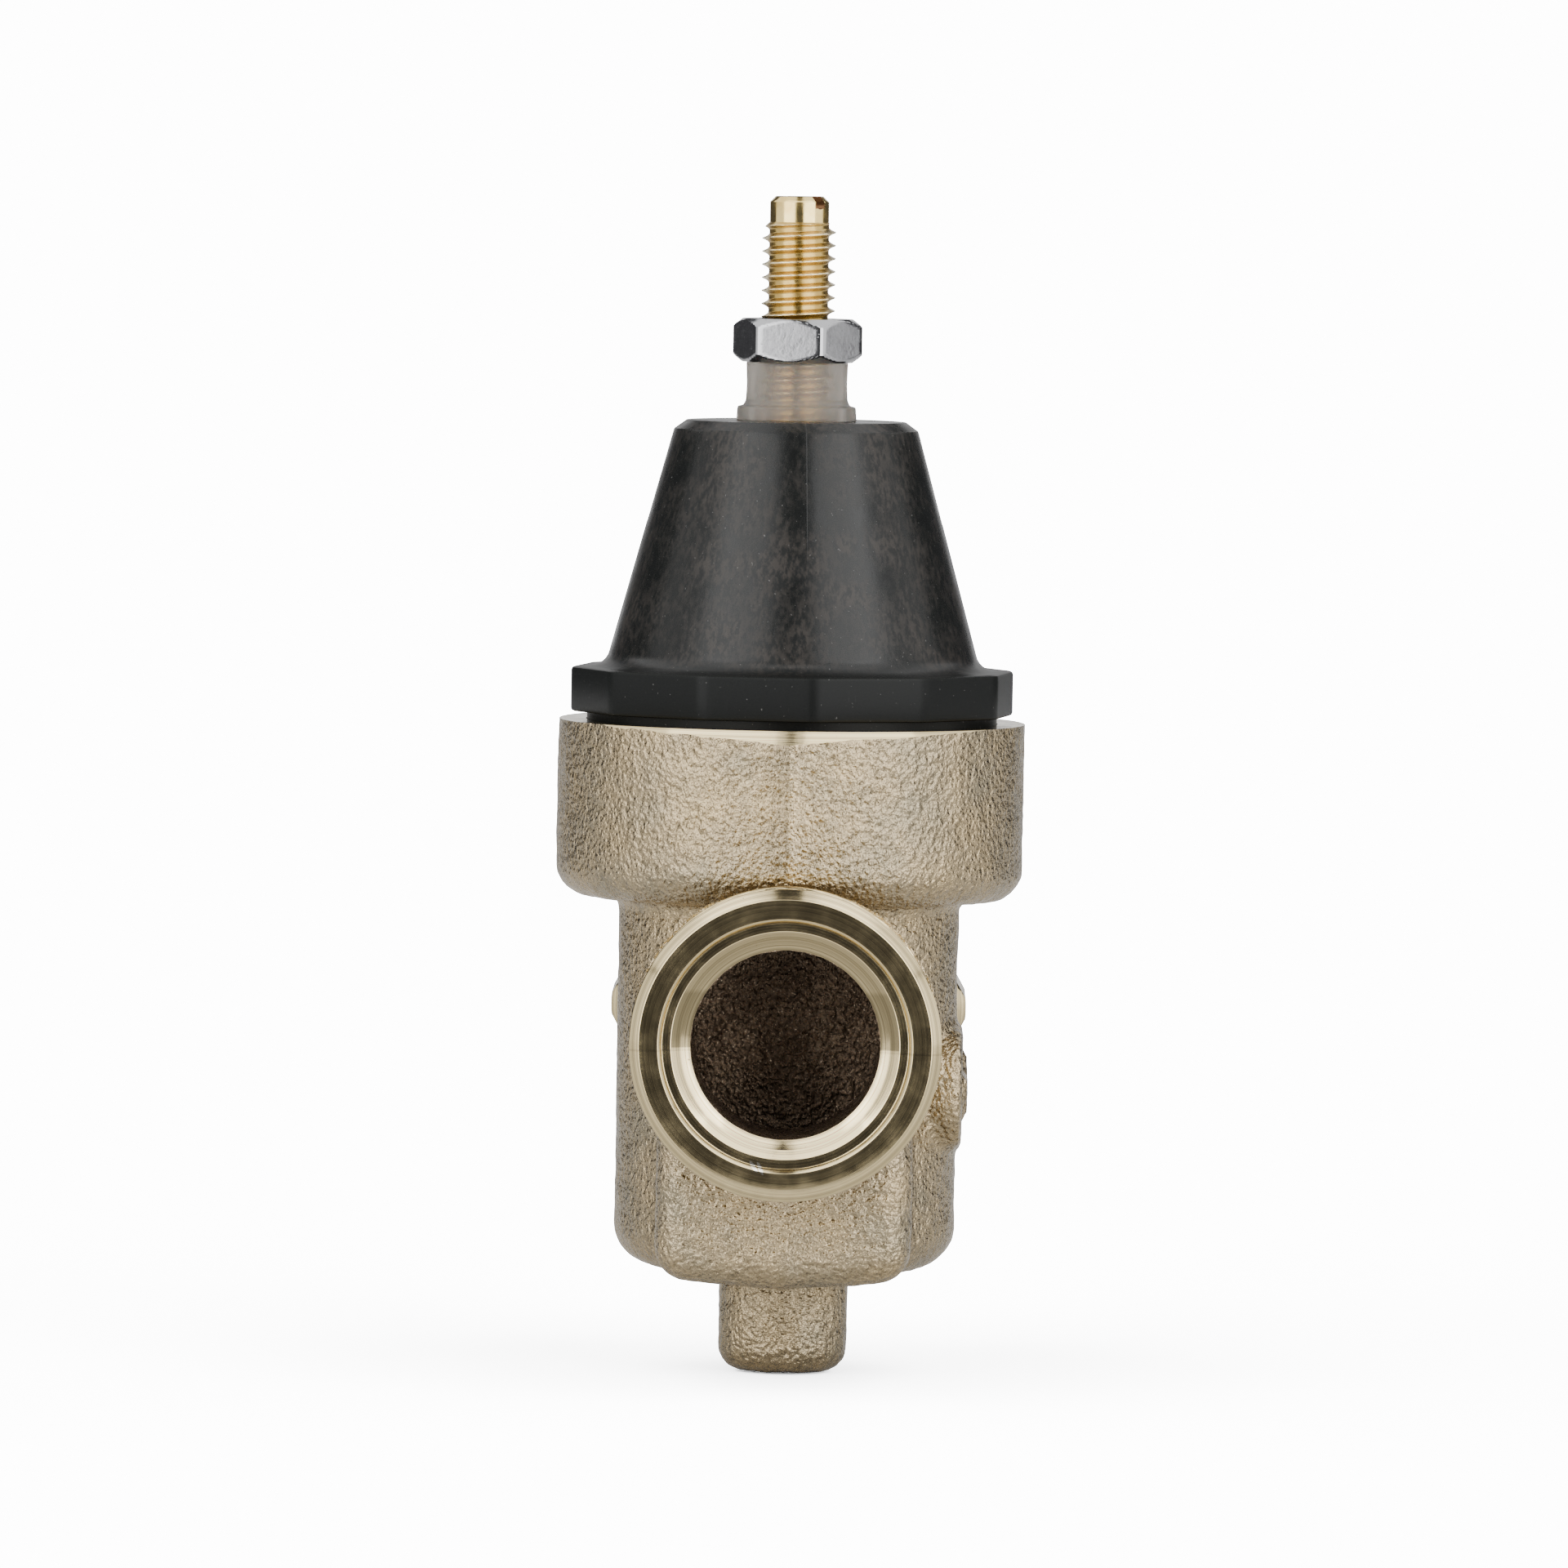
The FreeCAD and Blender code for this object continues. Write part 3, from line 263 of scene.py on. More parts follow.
# ---------------------------------------------------------------- materials
class Paint:
    """A material with a Principled shader and helpers that add the usual nodes."""

    def __init__(self, name, colour, metallic=0.0, roughness=0.5, **sockets):
        self.material = bpy.data.materials.new(name)
        self.material.use_nodes = True
        self.tree = self.material.node_tree
        self.shader = self.tree.nodes["Principled BSDF"]
        self.set(Base_Color=(*colour, 1.0), Metallic=metallic, Roughness=roughness, **sockets)
        self.where = self.add("ShaderNodeTexCoord").outputs["Object"]

    def set(self, **sockets):
        """Sets the shader's own values; _ stands for a space."""
        for name, value in sockets.items():
            self.shader.inputs[name.replace("_", " ")].default_value = value

    def add(self, kind, **inputs):
        """A node whose inputs are values or other nodes' outputs."""
        node = self.tree.nodes.new(kind)
        for name, value in inputs.items():
            self.plug(node.inputs[name.replace("_", " ")], value)
        return node

    def plug(self, socket, value):
        """Gives an input a value or another node's output."""
        if isinstance(value, bpy.types.NodeSocket):
            self.tree.links.new(value, socket)
        else:
            socket.default_value = value

    def stretched(self, scale, turn=(0, 0, 0)):
        """Object coordinates, in features per millimetre along each axis."""
        node = self.add("ShaderNodeMapping", Vector=self.where)
        node.inputs["Scale"].default_value = [value * 1000 for value in scale]
        node.inputs["Rotation"].default_value = turn
        return node.outputs["Vector"]

    def noise(self, size, detail=3.0, rough=0.5, vector=None):
        """Noise with features of that many millimetres, from 0 to 1."""
        node = self.add("ShaderNodeTexNoise", Vector=vector or self.where, Detail=detail,
                        Roughness=rough)
        node.inputs["Scale"].default_value = 1.0 / size if vector else 1000.0 / size
        return node.outputs["Fac"]

    def cells(self, size):
        """Rounded grains of that many millimetres, 0 in the middle of each."""
        node = self.add("ShaderNodeTexVoronoi", Vector=self.where, Scale=1000.0 / size)
        node.feature = "SMOOTH_F1"
        return node.outputs["Distance"]

    def ramp(self, value, *stops):
        """A colour ramp; its stops are (place, colour or grey)."""
        node = self.add("ShaderNodeValToRGB", Fac=value)
        elements = node.color_ramp.elements
        while len(elements) < len(stops):
            elements.new(0.5)
        for element, (spot, colour) in zip(elements, stops):
            element.position = spot
            rgb = colour if isinstance(colour, tuple) else (colour,) * 3
            element.color = (*rgb, 1.0)
        return node.outputs["Color"]

    def mix(self, share, first, second, blend="MIX"):
        """Two colours mixed by a share, or blended in another way."""
        node = self.tree.nodes.new("ShaderNodeMix")
        node.data_type = "RGBA"
        node.blend_type = blend
        for socket, value in ((node.inputs[0], share), (node.inputs[6], first),
                              (node.inputs[7], second)):
            self.plug(socket, (*value, 1.0) if isinstance(value, tuple) else value)
        return node.outputs[2]

    def math(self, operation, first, second=0.0):
        """One sum on values or other nodes' outputs."""
        node = self.tree.nodes.new("ShaderNodeMath")
        node.operation = operation
        for socket, value in zip(node.inputs, (first, second)):
            self.plug(socket, value)
        return node.outputs[0]

    def bump(self, height, distance, strength=1.0, normal=None):
        """A normal bumped by a height; distance is in millimetres."""
        node = self.add("ShaderNodeBump", Height=height, Strength=strength,
                        Distance=distance * MM)
        if normal is not None:
            self.tree.links.new(normal, node.inputs["Normal"])
        return node.outputs["Normal"]

    def link(self, name, value):
        """Feeds one of the shader's inputs."""
        self.tree.links.new(value, self.shader.inputs[name])

    def radius(self, along):
        """Distance from the vertical or the flow axis in millimetres, and the coordinates."""
        parts = self.add("ShaderNodeSeparateXYZ", Vector=self.where).outputs
        across = parts["X"]
        other = parts["Z"] if along == "y" else self.math("SUBTRACT", parts["Y"], CENTRE)
        total = self.math("ADD", self.math("MULTIPLY", across, across),
                          self.math("MULTIPLY", other, other))
        return self.math("MULTIPLY", self.math("SQRT", total), 1000.0), parts


def cast_paint():
    """Bronze as it leaves the sand: close bright grains with dark between them."""
    paint = Paint("sand_cast_bronze", (0.72, 0.58, 0.40), 1.0, 0.40)
    grains = paint.cells(0.46)
    middle = paint.noise(0.80, 3.0, 0.6)
    fine = paint.noise(0.30, 2.0, 0.6)
    patches = paint.noise(7.0, 4.0, 0.6)
    tone = paint.ramp(patches, (0.32, (0.45, 0.345, 0.195)), (0.52, (0.385, 0.305, 0.186)),
                      (0.72, (0.32, 0.270, 0.180)))
    pits = paint.ramp(middle, (0.30, 0.68), (0.48, 1.0))
    tone = paint.mix(1.0, tone, pits, "MULTIPLY")
    tone = paint.mix(1.0, tone, paint.ramp(fine, (0.34, 0.76), (0.64, 1.16)), "MULTIPLY")
    # the parting ridge down the front of the barrel: painted shade on its left side, a painted
    # highlight on its right
    parts = paint.radius("y")[1]
    front = paint.math("MULTIPLY", paint.math("GREATER_THAN", parts["Z"], 0.0165),
                       paint.math("LESS_THAN", parts["Y"], CENTRE))
    painted_ridge_shading = paint.ramp(paint.math("ADD", paint.math("MULTIPLY", parts["X"], 100.0), 0.5),
                      (0.18, 1.0), (0.485, 0.78), (0.505, 1.18), (0.82, 1.0))
    tone = paint.mix(front, tone, paint.mix(1.0, tone, painted_ridge_shading, "MULTIPLY"))
    paint.link("Base Color", tone)
    paint.link("Roughness", paint.ramp(fine, (0.32, 0.12), (0.66, 0.36)))
    normal = paint.bump(middle, 0.40, 1.0)
    normal = paint.bump(grains, -0.17, 1.0, normal)
    paint.link("Normal", paint.bump(fine, 0.05, 0.8, normal))
    return paint.material


def bore_paint():
    """The cast water way: dark brown and rough, with painted glints."""
    paint = Paint("cast_water_way", (0.060, 0.045, 0.035), 0.75, 0.34)
    grains = paint.cells(0.42)
    middle = paint.noise(0.55, 3.0, 0.6)
    broad = paint.noise(5.0, 3.0, 0.5)
    glints = paint.noise(0.24, 2.0, 0.6)
    tone = paint.ramp(broad, (0.35, (0.098, 0.066, 0.040)), (0.70, (0.165, 0.118, 0.076)))
    tone = paint.mix(1.0, tone, paint.ramp(middle, (0.38, 0.55), (0.60, 1.15)), "MULTIPLY")
    # pale spots painted into the colour where the fine noise peaks: painted glints
    tone = paint.mix(paint.ramp(glints, (0.62, 0.0), (0.70, 0.7)), tone, (0.55, 0.45, 0.33))
    paint.link("Base Color", tone)
    paint.link("Roughness", paint.ramp(middle, (0.35, 0.14), (0.65, 0.34)))
    normal = paint.bump(middle, 0.28, 1.0)
    normal = paint.bump(grains, -0.14, 1.0, normal)
    paint.link("Normal", paint.bump(glints, 0.06, 0.8, normal))
    return paint.material


def machined_paint(name, colour, along, rough=0.11):
    """Turned metal: fine rings round the axis, a few smears and pin-holes."""
    paint = Paint(name, colour, 1.0, rough)
    distance, parts = paint.radius(along)
    level = paint.math("MULTIPLY", parts["Y" if along == "y" else "Z"], 1000.0)
    rings = paint.add("ShaderNodeCombineXYZ", X=distance, Y=level).outputs["Vector"]
    lines = paint.noise(0.11, 2.0, 0.5, rings)
    bands = paint.noise(0.42, 3.0, 0.65, rings)
    smear = paint.noise(3.2, 4.0, 0.6)
    dark = tuple(value * 0.62 for value in colour)
    tone = paint.mix(paint.ramp(bands, (0.36, 0.0), (0.64, 1.0)), colour, dark)
    tone = paint.mix(1.0, tone, paint.ramp(lines, (0.38, 0.66), (0.60, 1.18)), "MULTIPLY")
    spots = paint.ramp(paint.noise(0.5, 2.0, 0.6), (0.22, 0.50), (0.27, 1.0))
    tone = paint.mix(1.0, tone, spots, "MULTIPLY")
    if along == "y":
        tone = port_marks(paint, tone, distance, parts)
    paint.link("Base Color", tone)
    wear = paint.ramp(smear, (0.35, rough * 0.75), (0.70, rough * 1.6))
    paint.link("Roughness", wear)
    paint.link("Normal", paint.bump(lines, 0.0035, 0.8, paint.bump(bands, 0.006, 0.8)))
    return paint.material


def port_marks(paint, tone, distance, parts):
    """The inlet port's cones with painted shade on their upper half, its seam line and the two
    nicks at its foot.
    """
    across = paint.math("MULTIPLY", parts["X"], 1000.0)
    height = paint.math("MULTIPLY", parts["Z"], 1000.0)
    ahead = paint.math("LESS_THAN", parts["Y"], 4.0 * MM)
    # the cones only, which end at the second flat
    inside = paint.math("MULTIPLY", paint.math("LESS_THAN", distance, 12.05), ahead)
    # painted shade: the cones darker from the axis upwards, a little less so near the top
    level = paint.math("ADD", paint.math("MULTIPLY", height, 0.04), 0.5)
    painted_upper_shade = paint.ramp(level, (0.480, 1.0), (0.488, 0.36), (0.715, 0.36), (0.735, 0.54))
    tone = paint.mix(inside, tone, paint.mix(1.0, tone, painted_upper_shade, "MULTIPLY"))
    seam = paint.ramp(paint.math("ABSOLUTE", paint.math("ADD", height, 0.62)),
                      (0.05, 0.78), (0.16, 1.0))
    tone = paint.mix(ahead, tone, paint.mix(1.0, tone, seam, "MULTIPLY"))
    half_length, half_width = 0.75, 0.20
    for x, z, turn in ((-3.15, -12.75, 0.9), (-2.45, -12.95, 1.1)):
        right, up = paint.math("SUBTRACT", across, x), paint.math("SUBTRACT", height, z)
        cos, sin = math.cos(turn), math.sin(turn)
        along = paint.math("ADD", paint.math("MULTIPLY", right, -cos / half_length),
                           paint.math("MULTIPLY", up, sin / half_length))
        over = paint.math("ADD", paint.math("MULTIPLY", right, sin / half_width),
                          paint.math("MULTIPLY", up, cos / half_width))
        far = paint.math("ADD", paint.math("MULTIPLY", along, along),
                         paint.math("MULTIPLY", over, over))
        nick = paint.math("MULTIPLY", paint.ramp(far, (0.7, 1.0), (1.0, 0.0)), ahead)
        tone = paint.mix(nick, tone, (0.98, 0.92, 0.78))
    return tone


def cage_paint():
    """Black plastic: handled and hazy on the cone, clean and dull on the flange."""
    paint = Paint("cage_plastic", (0.010, 0.010, 0.010), 0.0, 0.34, Specular_IOR_Level=0.5)
    _, parts = paint.radius("z")
    cone = paint.ramp(paint.math("MULTIPLY", parts["Z"], 10.0), (0.381, 0.0), (0.395, 1.0))
    smudge = paint.noise(6.0, 5.0, 0.62)
    flecks = paint.noise(0.6, 4.0, 0.7, paint.stretched((1.0, 1.0, 0.45)))
    haze = paint.math("MULTIPLY", paint.ramp(smudge, (0.38, 0.0), (0.62, 1.0)),
                      paint.ramp(flecks, (0.43, 0.0), (0.57, 1.0)))
    haze = paint.math("MULTIPLY", haze, cone)
    tone = paint.mix(haze, (0.0050, 0.0055, 0.0052), (0.021, 0.018, 0.0155))
    speck = paint.ramp(paint.noise(0.30, 1.0, 0.5), (0.755, 0.0), (0.785, 0.45))
    tone = paint.mix(speck, tone, (0.14, 0.135, 0.13))
    scratch = paint.noise(0.16, 3.0, 0.8, paint.stretched((1.0, 1.0, 0.035), (0.25, 0.1, 0.0)))
    marks = paint.ramp(scratch, (0.70, 0.0), (0.76, 1.0))
    tone = paint.mix(paint.math("MULTIPLY", marks, 0.14), tone, (0.15, 0.15, 0.15))
    # the mould's parting line, a few degrees off the front
    off = paint.math("ADD", parts["X"], paint.math(
        "MULTIPLY", paint.math("SUBTRACT", parts["Y"], CENTRE), 0.084))
    seam = paint.ramp(paint.math("ABSOLUTE", paint.math("MULTIPLY", off, 1000.0)),
                      (0.03, 1.0), (0.11, 0.0))
    seam = paint.math("MULTIPLY", seam, paint.ramp(
        paint.math("MULTIPLY", parts["Z"], 10.0), (0.48, 0.0), (0.58, 1.0)))
    tone = paint.mix(paint.math("MULTIPLY", seam, 0.25), tone, (0.004, 0.004, 0.004))
    paint.link("Base Color", tone)
    shine = paint.ramp(paint.math("ADD", smudge, paint.math("MULTIPLY", flecks, 0.5)),
                       (0.58, 0.22), (0.95, 0.38))
    paint.link("Roughness", paint.mix(cone, (0.38, 0.38, 0.38), shine))
    paint.link("Specular IOR Level", paint.mix(cone, (0.11, 0.11, 0.11), (0.24, 0.24, 0.24)))
    normal = paint.bump(flecks, 0.014, 0.7)
    normal = paint.bump(seam, 0.015, 0.8, normal)
    paint.link("Normal", paint.bump(marks, 0.004, 0.5, normal))
    return paint.material


def sleeve_paint():
    """Milky plastic that the brass insert shines through."""
    paint = Paint("sleeve_nylon", (0.66, 0.64, 0.60), 0.0, 0.34, Transmission_Weight=0.88,
                  IOR=1.25, Subsurface_Weight=0.15, Subsurface_Scale=0.002)
    cloud = paint.noise(2.4, 3.0, 0.5)
    paint.link("Base Color", paint.ramp(cloud, (0.3, (0.57, 0.53, 0.48)),
                                        (0.7, (0.66, 0.61, 0.54))))
    paint.link("Roughness", paint.ramp(cloud, (0.3, 0.28), (0.7, 0.42)))
    paint.link("Normal", paint.bump(paint.noise(1.1, 3.0, 0.5), 0.012, 0.5))
    return paint.material


def chrome_paint():
    """Dull chrome with pits and a few scratches."""
    paint = Paint("nut_chrome", (0.40, 0.40, 0.41), 1.0, 0.12)
    cloud = paint.noise(2.0, 4.0, 0.6)
    scratch = paint.noise(0.35, 3.0, 0.75, paint.stretched((0.25, 0.25, 1.6), (0.5, 0.4, 0.2)))
    marks = paint.ramp(scratch, (0.68, 0.0), (0.72, 1.0))
    pits = paint.ramp(paint.noise(0.28, 1.0, 0.5), (0.24, 1.0), (0.28, 0.0))
    dark = paint.math("MAXIMUM", marks, pits)
    paint.link("Base Color", paint.mix(paint.math("MULTIPLY", dark, 0.55), (0.40, 0.40, 0.41),
                                       (0.17, 0.17, 0.18)))
    paint.link("Roughness", paint.ramp(cloud, (0.35, 0.10), (0.70, 0.20)))
    normal = paint.bump(paint.noise(0.5, 4.0, 0.6), 0.006, 0.7)
    paint.link("Normal", paint.bump(dark, -0.012, 0.8, normal))
    return paint.material


def brass_paint(name, colour, rough, crest=None):
    """Turned brass; with a crest colour, `colour` is kept for the thread's grooves as painted shade
    between the flanks, and the burnished crests take the crest colour.
    """
    paint = Paint(name, colour, 1.0, rough)
    distance, parts = paint.radius("z")
    level = paint.math("MULTIPLY", parts["Z"], 1000.0)
    rings = paint.add("ShaderNodeCombineXYZ", X=level).outputs["Vector"]
    stain = paint.noise(1.6, 4.0, 0.6)
    deep = (colour[0] * 0.82, colour[1] * 0.72, colour[2] * 0.55)
    tone = paint.mix(paint.ramp(stain, (0.40, 0.0), (0.75, 0.8)), colour, deep)
    if crest:
        # the grooves' deeper colour is painted shade; the pale crests are burnished
        outer = paint.ramp(paint.math("MULTIPLY", distance, 0.1), (0.335, 0.0), (0.392, 1.0))
        tone = paint.mix(outer, tone, crest)
    paint.link("Base Color", tone)
    paint.link("Roughness", paint.ramp(stain, (0.35, rough * 0.8), (0.70, rough * 1.6)))
    paint.link("Normal", paint.bump(paint.noise(0.05, 2.0, 0.5, rings), 0.0015, 0.7))
    return paint.material


def metal_paint(name, colour, rough):
    """Plain bright metal for the inner parts, with brushed grain and stains."""
    paint = Paint(name, colour, 1.0, rough)
    stain = paint.noise(3.0, 4.0, 0.6)
    brushed = paint.noise(0.5, 3.0, 0.6, paint.stretched((1.0, 1.0, 0.2)))
    dark = tuple(value * 0.7 for value in colour)
    paint.link("Base Color", paint.mix(paint.ramp(stain, (0.4, 0.0), (0.7, 1.0)), colour, dark))
    paint.link("Roughness", paint.ramp(brushed, (0.35, rough * 0.8), (0.65, rough * 1.5)))
    paint.link("Normal", paint.bump(brushed, 0.008, 0.6))
    return paint.material


def moulded_paint(name, colour, rough=0.45, size=0.6):
    """Moulded plastic or rubber with a fine skin."""
    paint = Paint(name, colour, 0.0, rough)
    cloud = paint.noise(2.5, 4.0, 0.6)
    skin = paint.noise(size, 3.0, 0.6)
    pale = tuple(value * 1.25 + 0.01 for value in colour)
    paint.link("Base Color", paint.mix(paint.ramp(cloud, (0.4, 0.0), (0.7, 1.0)), colour, pale))
    paint.link("Roughness", paint.ramp(cloud, (0.35, rough * 0.85), (0.7, rough * 1.25)))
    paint.link("Normal", paint.bump(skin, 0.02, 0.6))
    return paint.material


def cloth_paint():
    """Rubber over woven cloth, as on the diaphragm."""
    paint = Paint("diaphragm_rubber", (0.035, 0.033, 0.032), 0.0, 0.55)
    weave = []
    for scale in ((1.0, 0.0, 0.0), (0.0, 1.0, 0.0)):
        wave = paint.add("ShaderNodeTexWave", Vector=paint.stretched(scale), Scale=0.5)
        weave.append(wave.outputs["Fac"])
    woven = paint.math("MULTIPLY", *weave)
    paint.link("Base Color", paint.mix(woven, (0.030, 0.028, 0.027), (0.060, 0.056, 0.052)))
    paint.link("Roughness", paint.ramp(paint.noise(2.0), (0.3, 0.45), (0.7, 0.65)))
    paint.link("Normal", paint.bump(woven, 0.05, 0.7))
    return paint.material


PALE_BRONZE = (0.80, 0.65, 0.36)
paints = {
    "cast_bronze": cast_paint(),
    "water_way": bore_paint(),
    "machined": machined_paint("machined_bronze", PALE_BRONZE, "y", 0.13),
    "machined_rim": machined_paint("machined_rim_bronze", PALE_BRONZE, "z"),
    "cage_plastic": cage_paint(),
    "sleeve_nylon": sleeve_paint(),
    "nut_chrome": chrome_paint(),
    # the screw's thread grooves are a darker, deeper brass as painted shade; its crests are pale
    # where burnished
    "screw_brass": brass_paint("screw_brass", (0.50, 0.35, 0.115), 0.24, (0.92, 0.80, 0.52)),
    "pilot_brass": brass_paint("pilot_brass", (0.86, 0.66, 0.27), 0.15),
    # the milled slot is painted a near-black brass: painted shade in the slot
    "slot_brass": brass_paint("slot_brass", (0.20, 0.10, 0.045), 0.40),
    "insert_brass": brass_paint("insert_brass", (0.95, 0.52, 0.14), 0.22),
    "inner_brass": metal_paint("inner_brass", (0.76, 0.60, 0.32), 0.24),
    "zinc_steel": metal_paint("zinc_steel", (0.62, 0.63, 0.64), 0.28),
    "spring_steel": metal_paint("spring_steel", (0.40, 0.41, 0.43), 0.32),
    "stainless": metal_paint("stainless", (0.66, 0.66, 0.67), 0.22),
    "module_acetal": moulded_paint("module_acetal", (0.78, 0.77, 0.73), 0.38),
    "diaphragm_rubber": cloth_paint(),
    "disc_rubber": moulded_paint("disc_rubber", (0.040, 0.040, 0.040), 0.55),
    "ring_rubber": moulded_paint("ring_rubber", (0.028, 0.028, 0.030), 0.42, 0.4),
}


def settle(piece, body, slot, *nodes):
    """Gives a finished piece its slot's paint unless it has paint already, hangs it on its body and
    hides the CAD nodes it stands for.
    """
    if not any(piece.data.materials):
        piece.data.materials.clear()
        piece.data.materials.append(paints[slot])
    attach(piece, body)
    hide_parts(*nodes)
    return piece


# ---------------------------------------------------------------- casting
def cast_shell():
    """The outside of the casting as a solid, from the CAD casting with its ways filled."""
    shell = bpy.data.objects.new("cast_body", frame["nodes"]["body_casting"].data.copy())
    bpy.context.scene.collection.objects.link(shell)
    shell.data.materials.clear()
    plugs = [
        lathe("plug_flow", [(0, 1.2), (14.2, 1.2), (14.2, 83.5), (0, 83.5)], "y", 64, 0),
        lathe("plug_low", [(0, -36.4), (5.6, -36.4), (5.6, -24.4), (16.6, -24.4), (16.6, 18.0),
                           (23.4, 20.0), (23.4, 32.0), (0, 32.0)], "z", 64, 0),
        lathe("plug_rim", [(20, 29), (25.13, 29), (25.13, 36), (20, 36)], "z", 160, 0),
    ]
    work = bmesh.new()
    for thing in (shell, *plugs):
        work.from_mesh(thing.data)
    bmesh.ops.remove_doubles(work, verts=work.verts, dist=2e-6)
    work.to_mesh(shell.data)
    work.free()
    for plug in plugs:
        bpy.data.objects.remove(plug)
    remesh = shell.modifiers.new("remesh", "REMESH")
    remesh.mode = "VOXEL"
    remesh.voxel_size = 0.5 * MM
    smooth = shell.modifiers.new("smooth", "SMOOTH")
    smooth.factor = 0.5
    smooth.iterations = 3
    apply_modifiers(shell)
    return shell


def shape_casting(shell):
    """Draft at the parting plane, sagging floors and the roughness of sand."""
    points = read_points(shell.data)
    x, y, z = points.T
    across, along = x, y - REACH
    radius = np.hypot(across, along)
    # two half moulds: each upper half barrel is struck from a centre a little past the plane
    upper = smoothstep(13.0, 17.5, z)
    push = 0.95 * (np.abs(along) / np.maximum(radius, 1e-6)) ** 2
    ridge = (0.30 * np.clip(1 - np.abs(across) / 4.5, 0, 1)
             + 0.13 * np.clip(1 - np.abs(across) / 1.1, 0, 1) * smoothstep(31, 29, z)) * (along < 0)
    scale = 1 + upper * (push + ridge) / np.maximum(radius, 1.0) * (radius > 20)
    points[:, 0] = across * scale
    points[:, 1] = REACH + along * scale
    # the floors of barrel and duct fall towards the parting plane
    floor = smoothstep(-19.0, -26.0, z) * smoothstep(7.4, 9.5, radius)
    points[:, 2] += floor * (0.085 * np.abs(across) - 0.62)
    # faint parting seam down the front and the back of the lower casting and the boss
    seam = np.clip(1 - np.abs(across) / 0.9, 0, 1) * (z < 10)
    points[:, 1] += 0.10 * seam * np.sign(along)
    write_points(shell.data, points)
    normals = read_normals(shell.data)
    rough = (0.07 * grain(points, 5.5, 3.1) + 0.035 * grain(points, 1.9, 17.7)
             + 0.045 * grain(points, 0.95, 41.3))
    write_points(shell.data, points + normals * rough[:, None])


def noisy_bore(name, profile, spacing, amount):
    """A cutter about the flow axis whose surface is rough like cast metal."""
    rows = []
    for start, end in zip(profile, profile[1:] + profile[:1]):
        gap = math.hypot(end[0] - start[0], end[1] - start[1])
        steps = max(1, round(gap / spacing))
        for step in range(steps):
            share = step / steps
            rows.append((start[0] + (end[0] - start[0]) * share,
                         start[1] + (end[1] - start[1]) * share))
    cutter = grid_solid(name, rows, circle(128), "y", 60)
    points = read_points(cutter.data)
    push = amount * (0.7 * grain(points, 1.5, 7.7) + 0.6 * grain(points, 0.8, 23.9))
    write_points(cutter.data, points + read_normals(cutter.data) * push[:, None])
    return cutter


def cut_casting(shell):
    """The machined ends and rim are cut crisp, and the cast ways are cut rough."""
    subtract(shell, lathe("cut_front", [(0, -3), (19, -3), (19, 13), (11.4, 13), (11.4, LIP),
                                        (0, LIP)], "y", 96, 0))
    subtract(shell, lathe("cut_back", [(0, 67.2), (24, 67.2), (24, 90), (0, 90)], "y", 64, 0))
    subtract(shell, lathe("cut_rim", [(0, RIM), (BEVEL, RIM), (BEVEL + 3, RIM - 3 * STEEP),
                                      (30, RIM - 3 * STEEP), (30, 40), (0, 40)], "z", 360, 0))
    subtract(shell, lathe("cut_upright", [
        (0, -35.2), (4.5, -35.2), (4.5, -23), (15, -23), (15, -13), (9, -13), (9, 13), (16, 13),
        (16, 15), (19, 18), (19, 21.5), (21.9, 21.5), (21.9, 24.1), (22.25, 24.1), (22.25, 34),
        (0, 34)], "z", 128, 0))
    subtract(shell, noisy_bore("cut_inlet", [(0, 1.5), (BORE, 1.5), (BORE, 27.0), (0, 27.0)],
                               0.5, 0.13))
    subtract(shell, box_object("cut_down", (-9.5, 18.5, -23.2), (9.5, 27.0, 0.0)))
    subtract(shell, noisy_bore("cut_outlet", [(0, 53.0), (BORE, 53.0), (BORE, 68.5), (0, 68.5)],
                               0.6, 0.12))
    angles = np.radians(np.linspace(10, 170, 49))
    rows = [(12.0, -10.0), (15.0, -10.0), (15.0, 14.0), (12.0, 14.0)]
    points = [place("z", radius, angle, height) for angle in angles for radius, height in rows]
    faces = [(4 * k + i, 4 * k + (i + 1) % 4, 4 * k + 4 + (i + 1) % 4, 4 * k + 4 + i)
             for k in range(len(angles) - 1) for i in range(4)]
    last = 4 * (len(angles) - 1)
    faces += [(3, 2, 1, 0), (last, last + 1, last + 2, last + 3)]
    subtract(shell, mesh_object("cut_rear", points, faces))


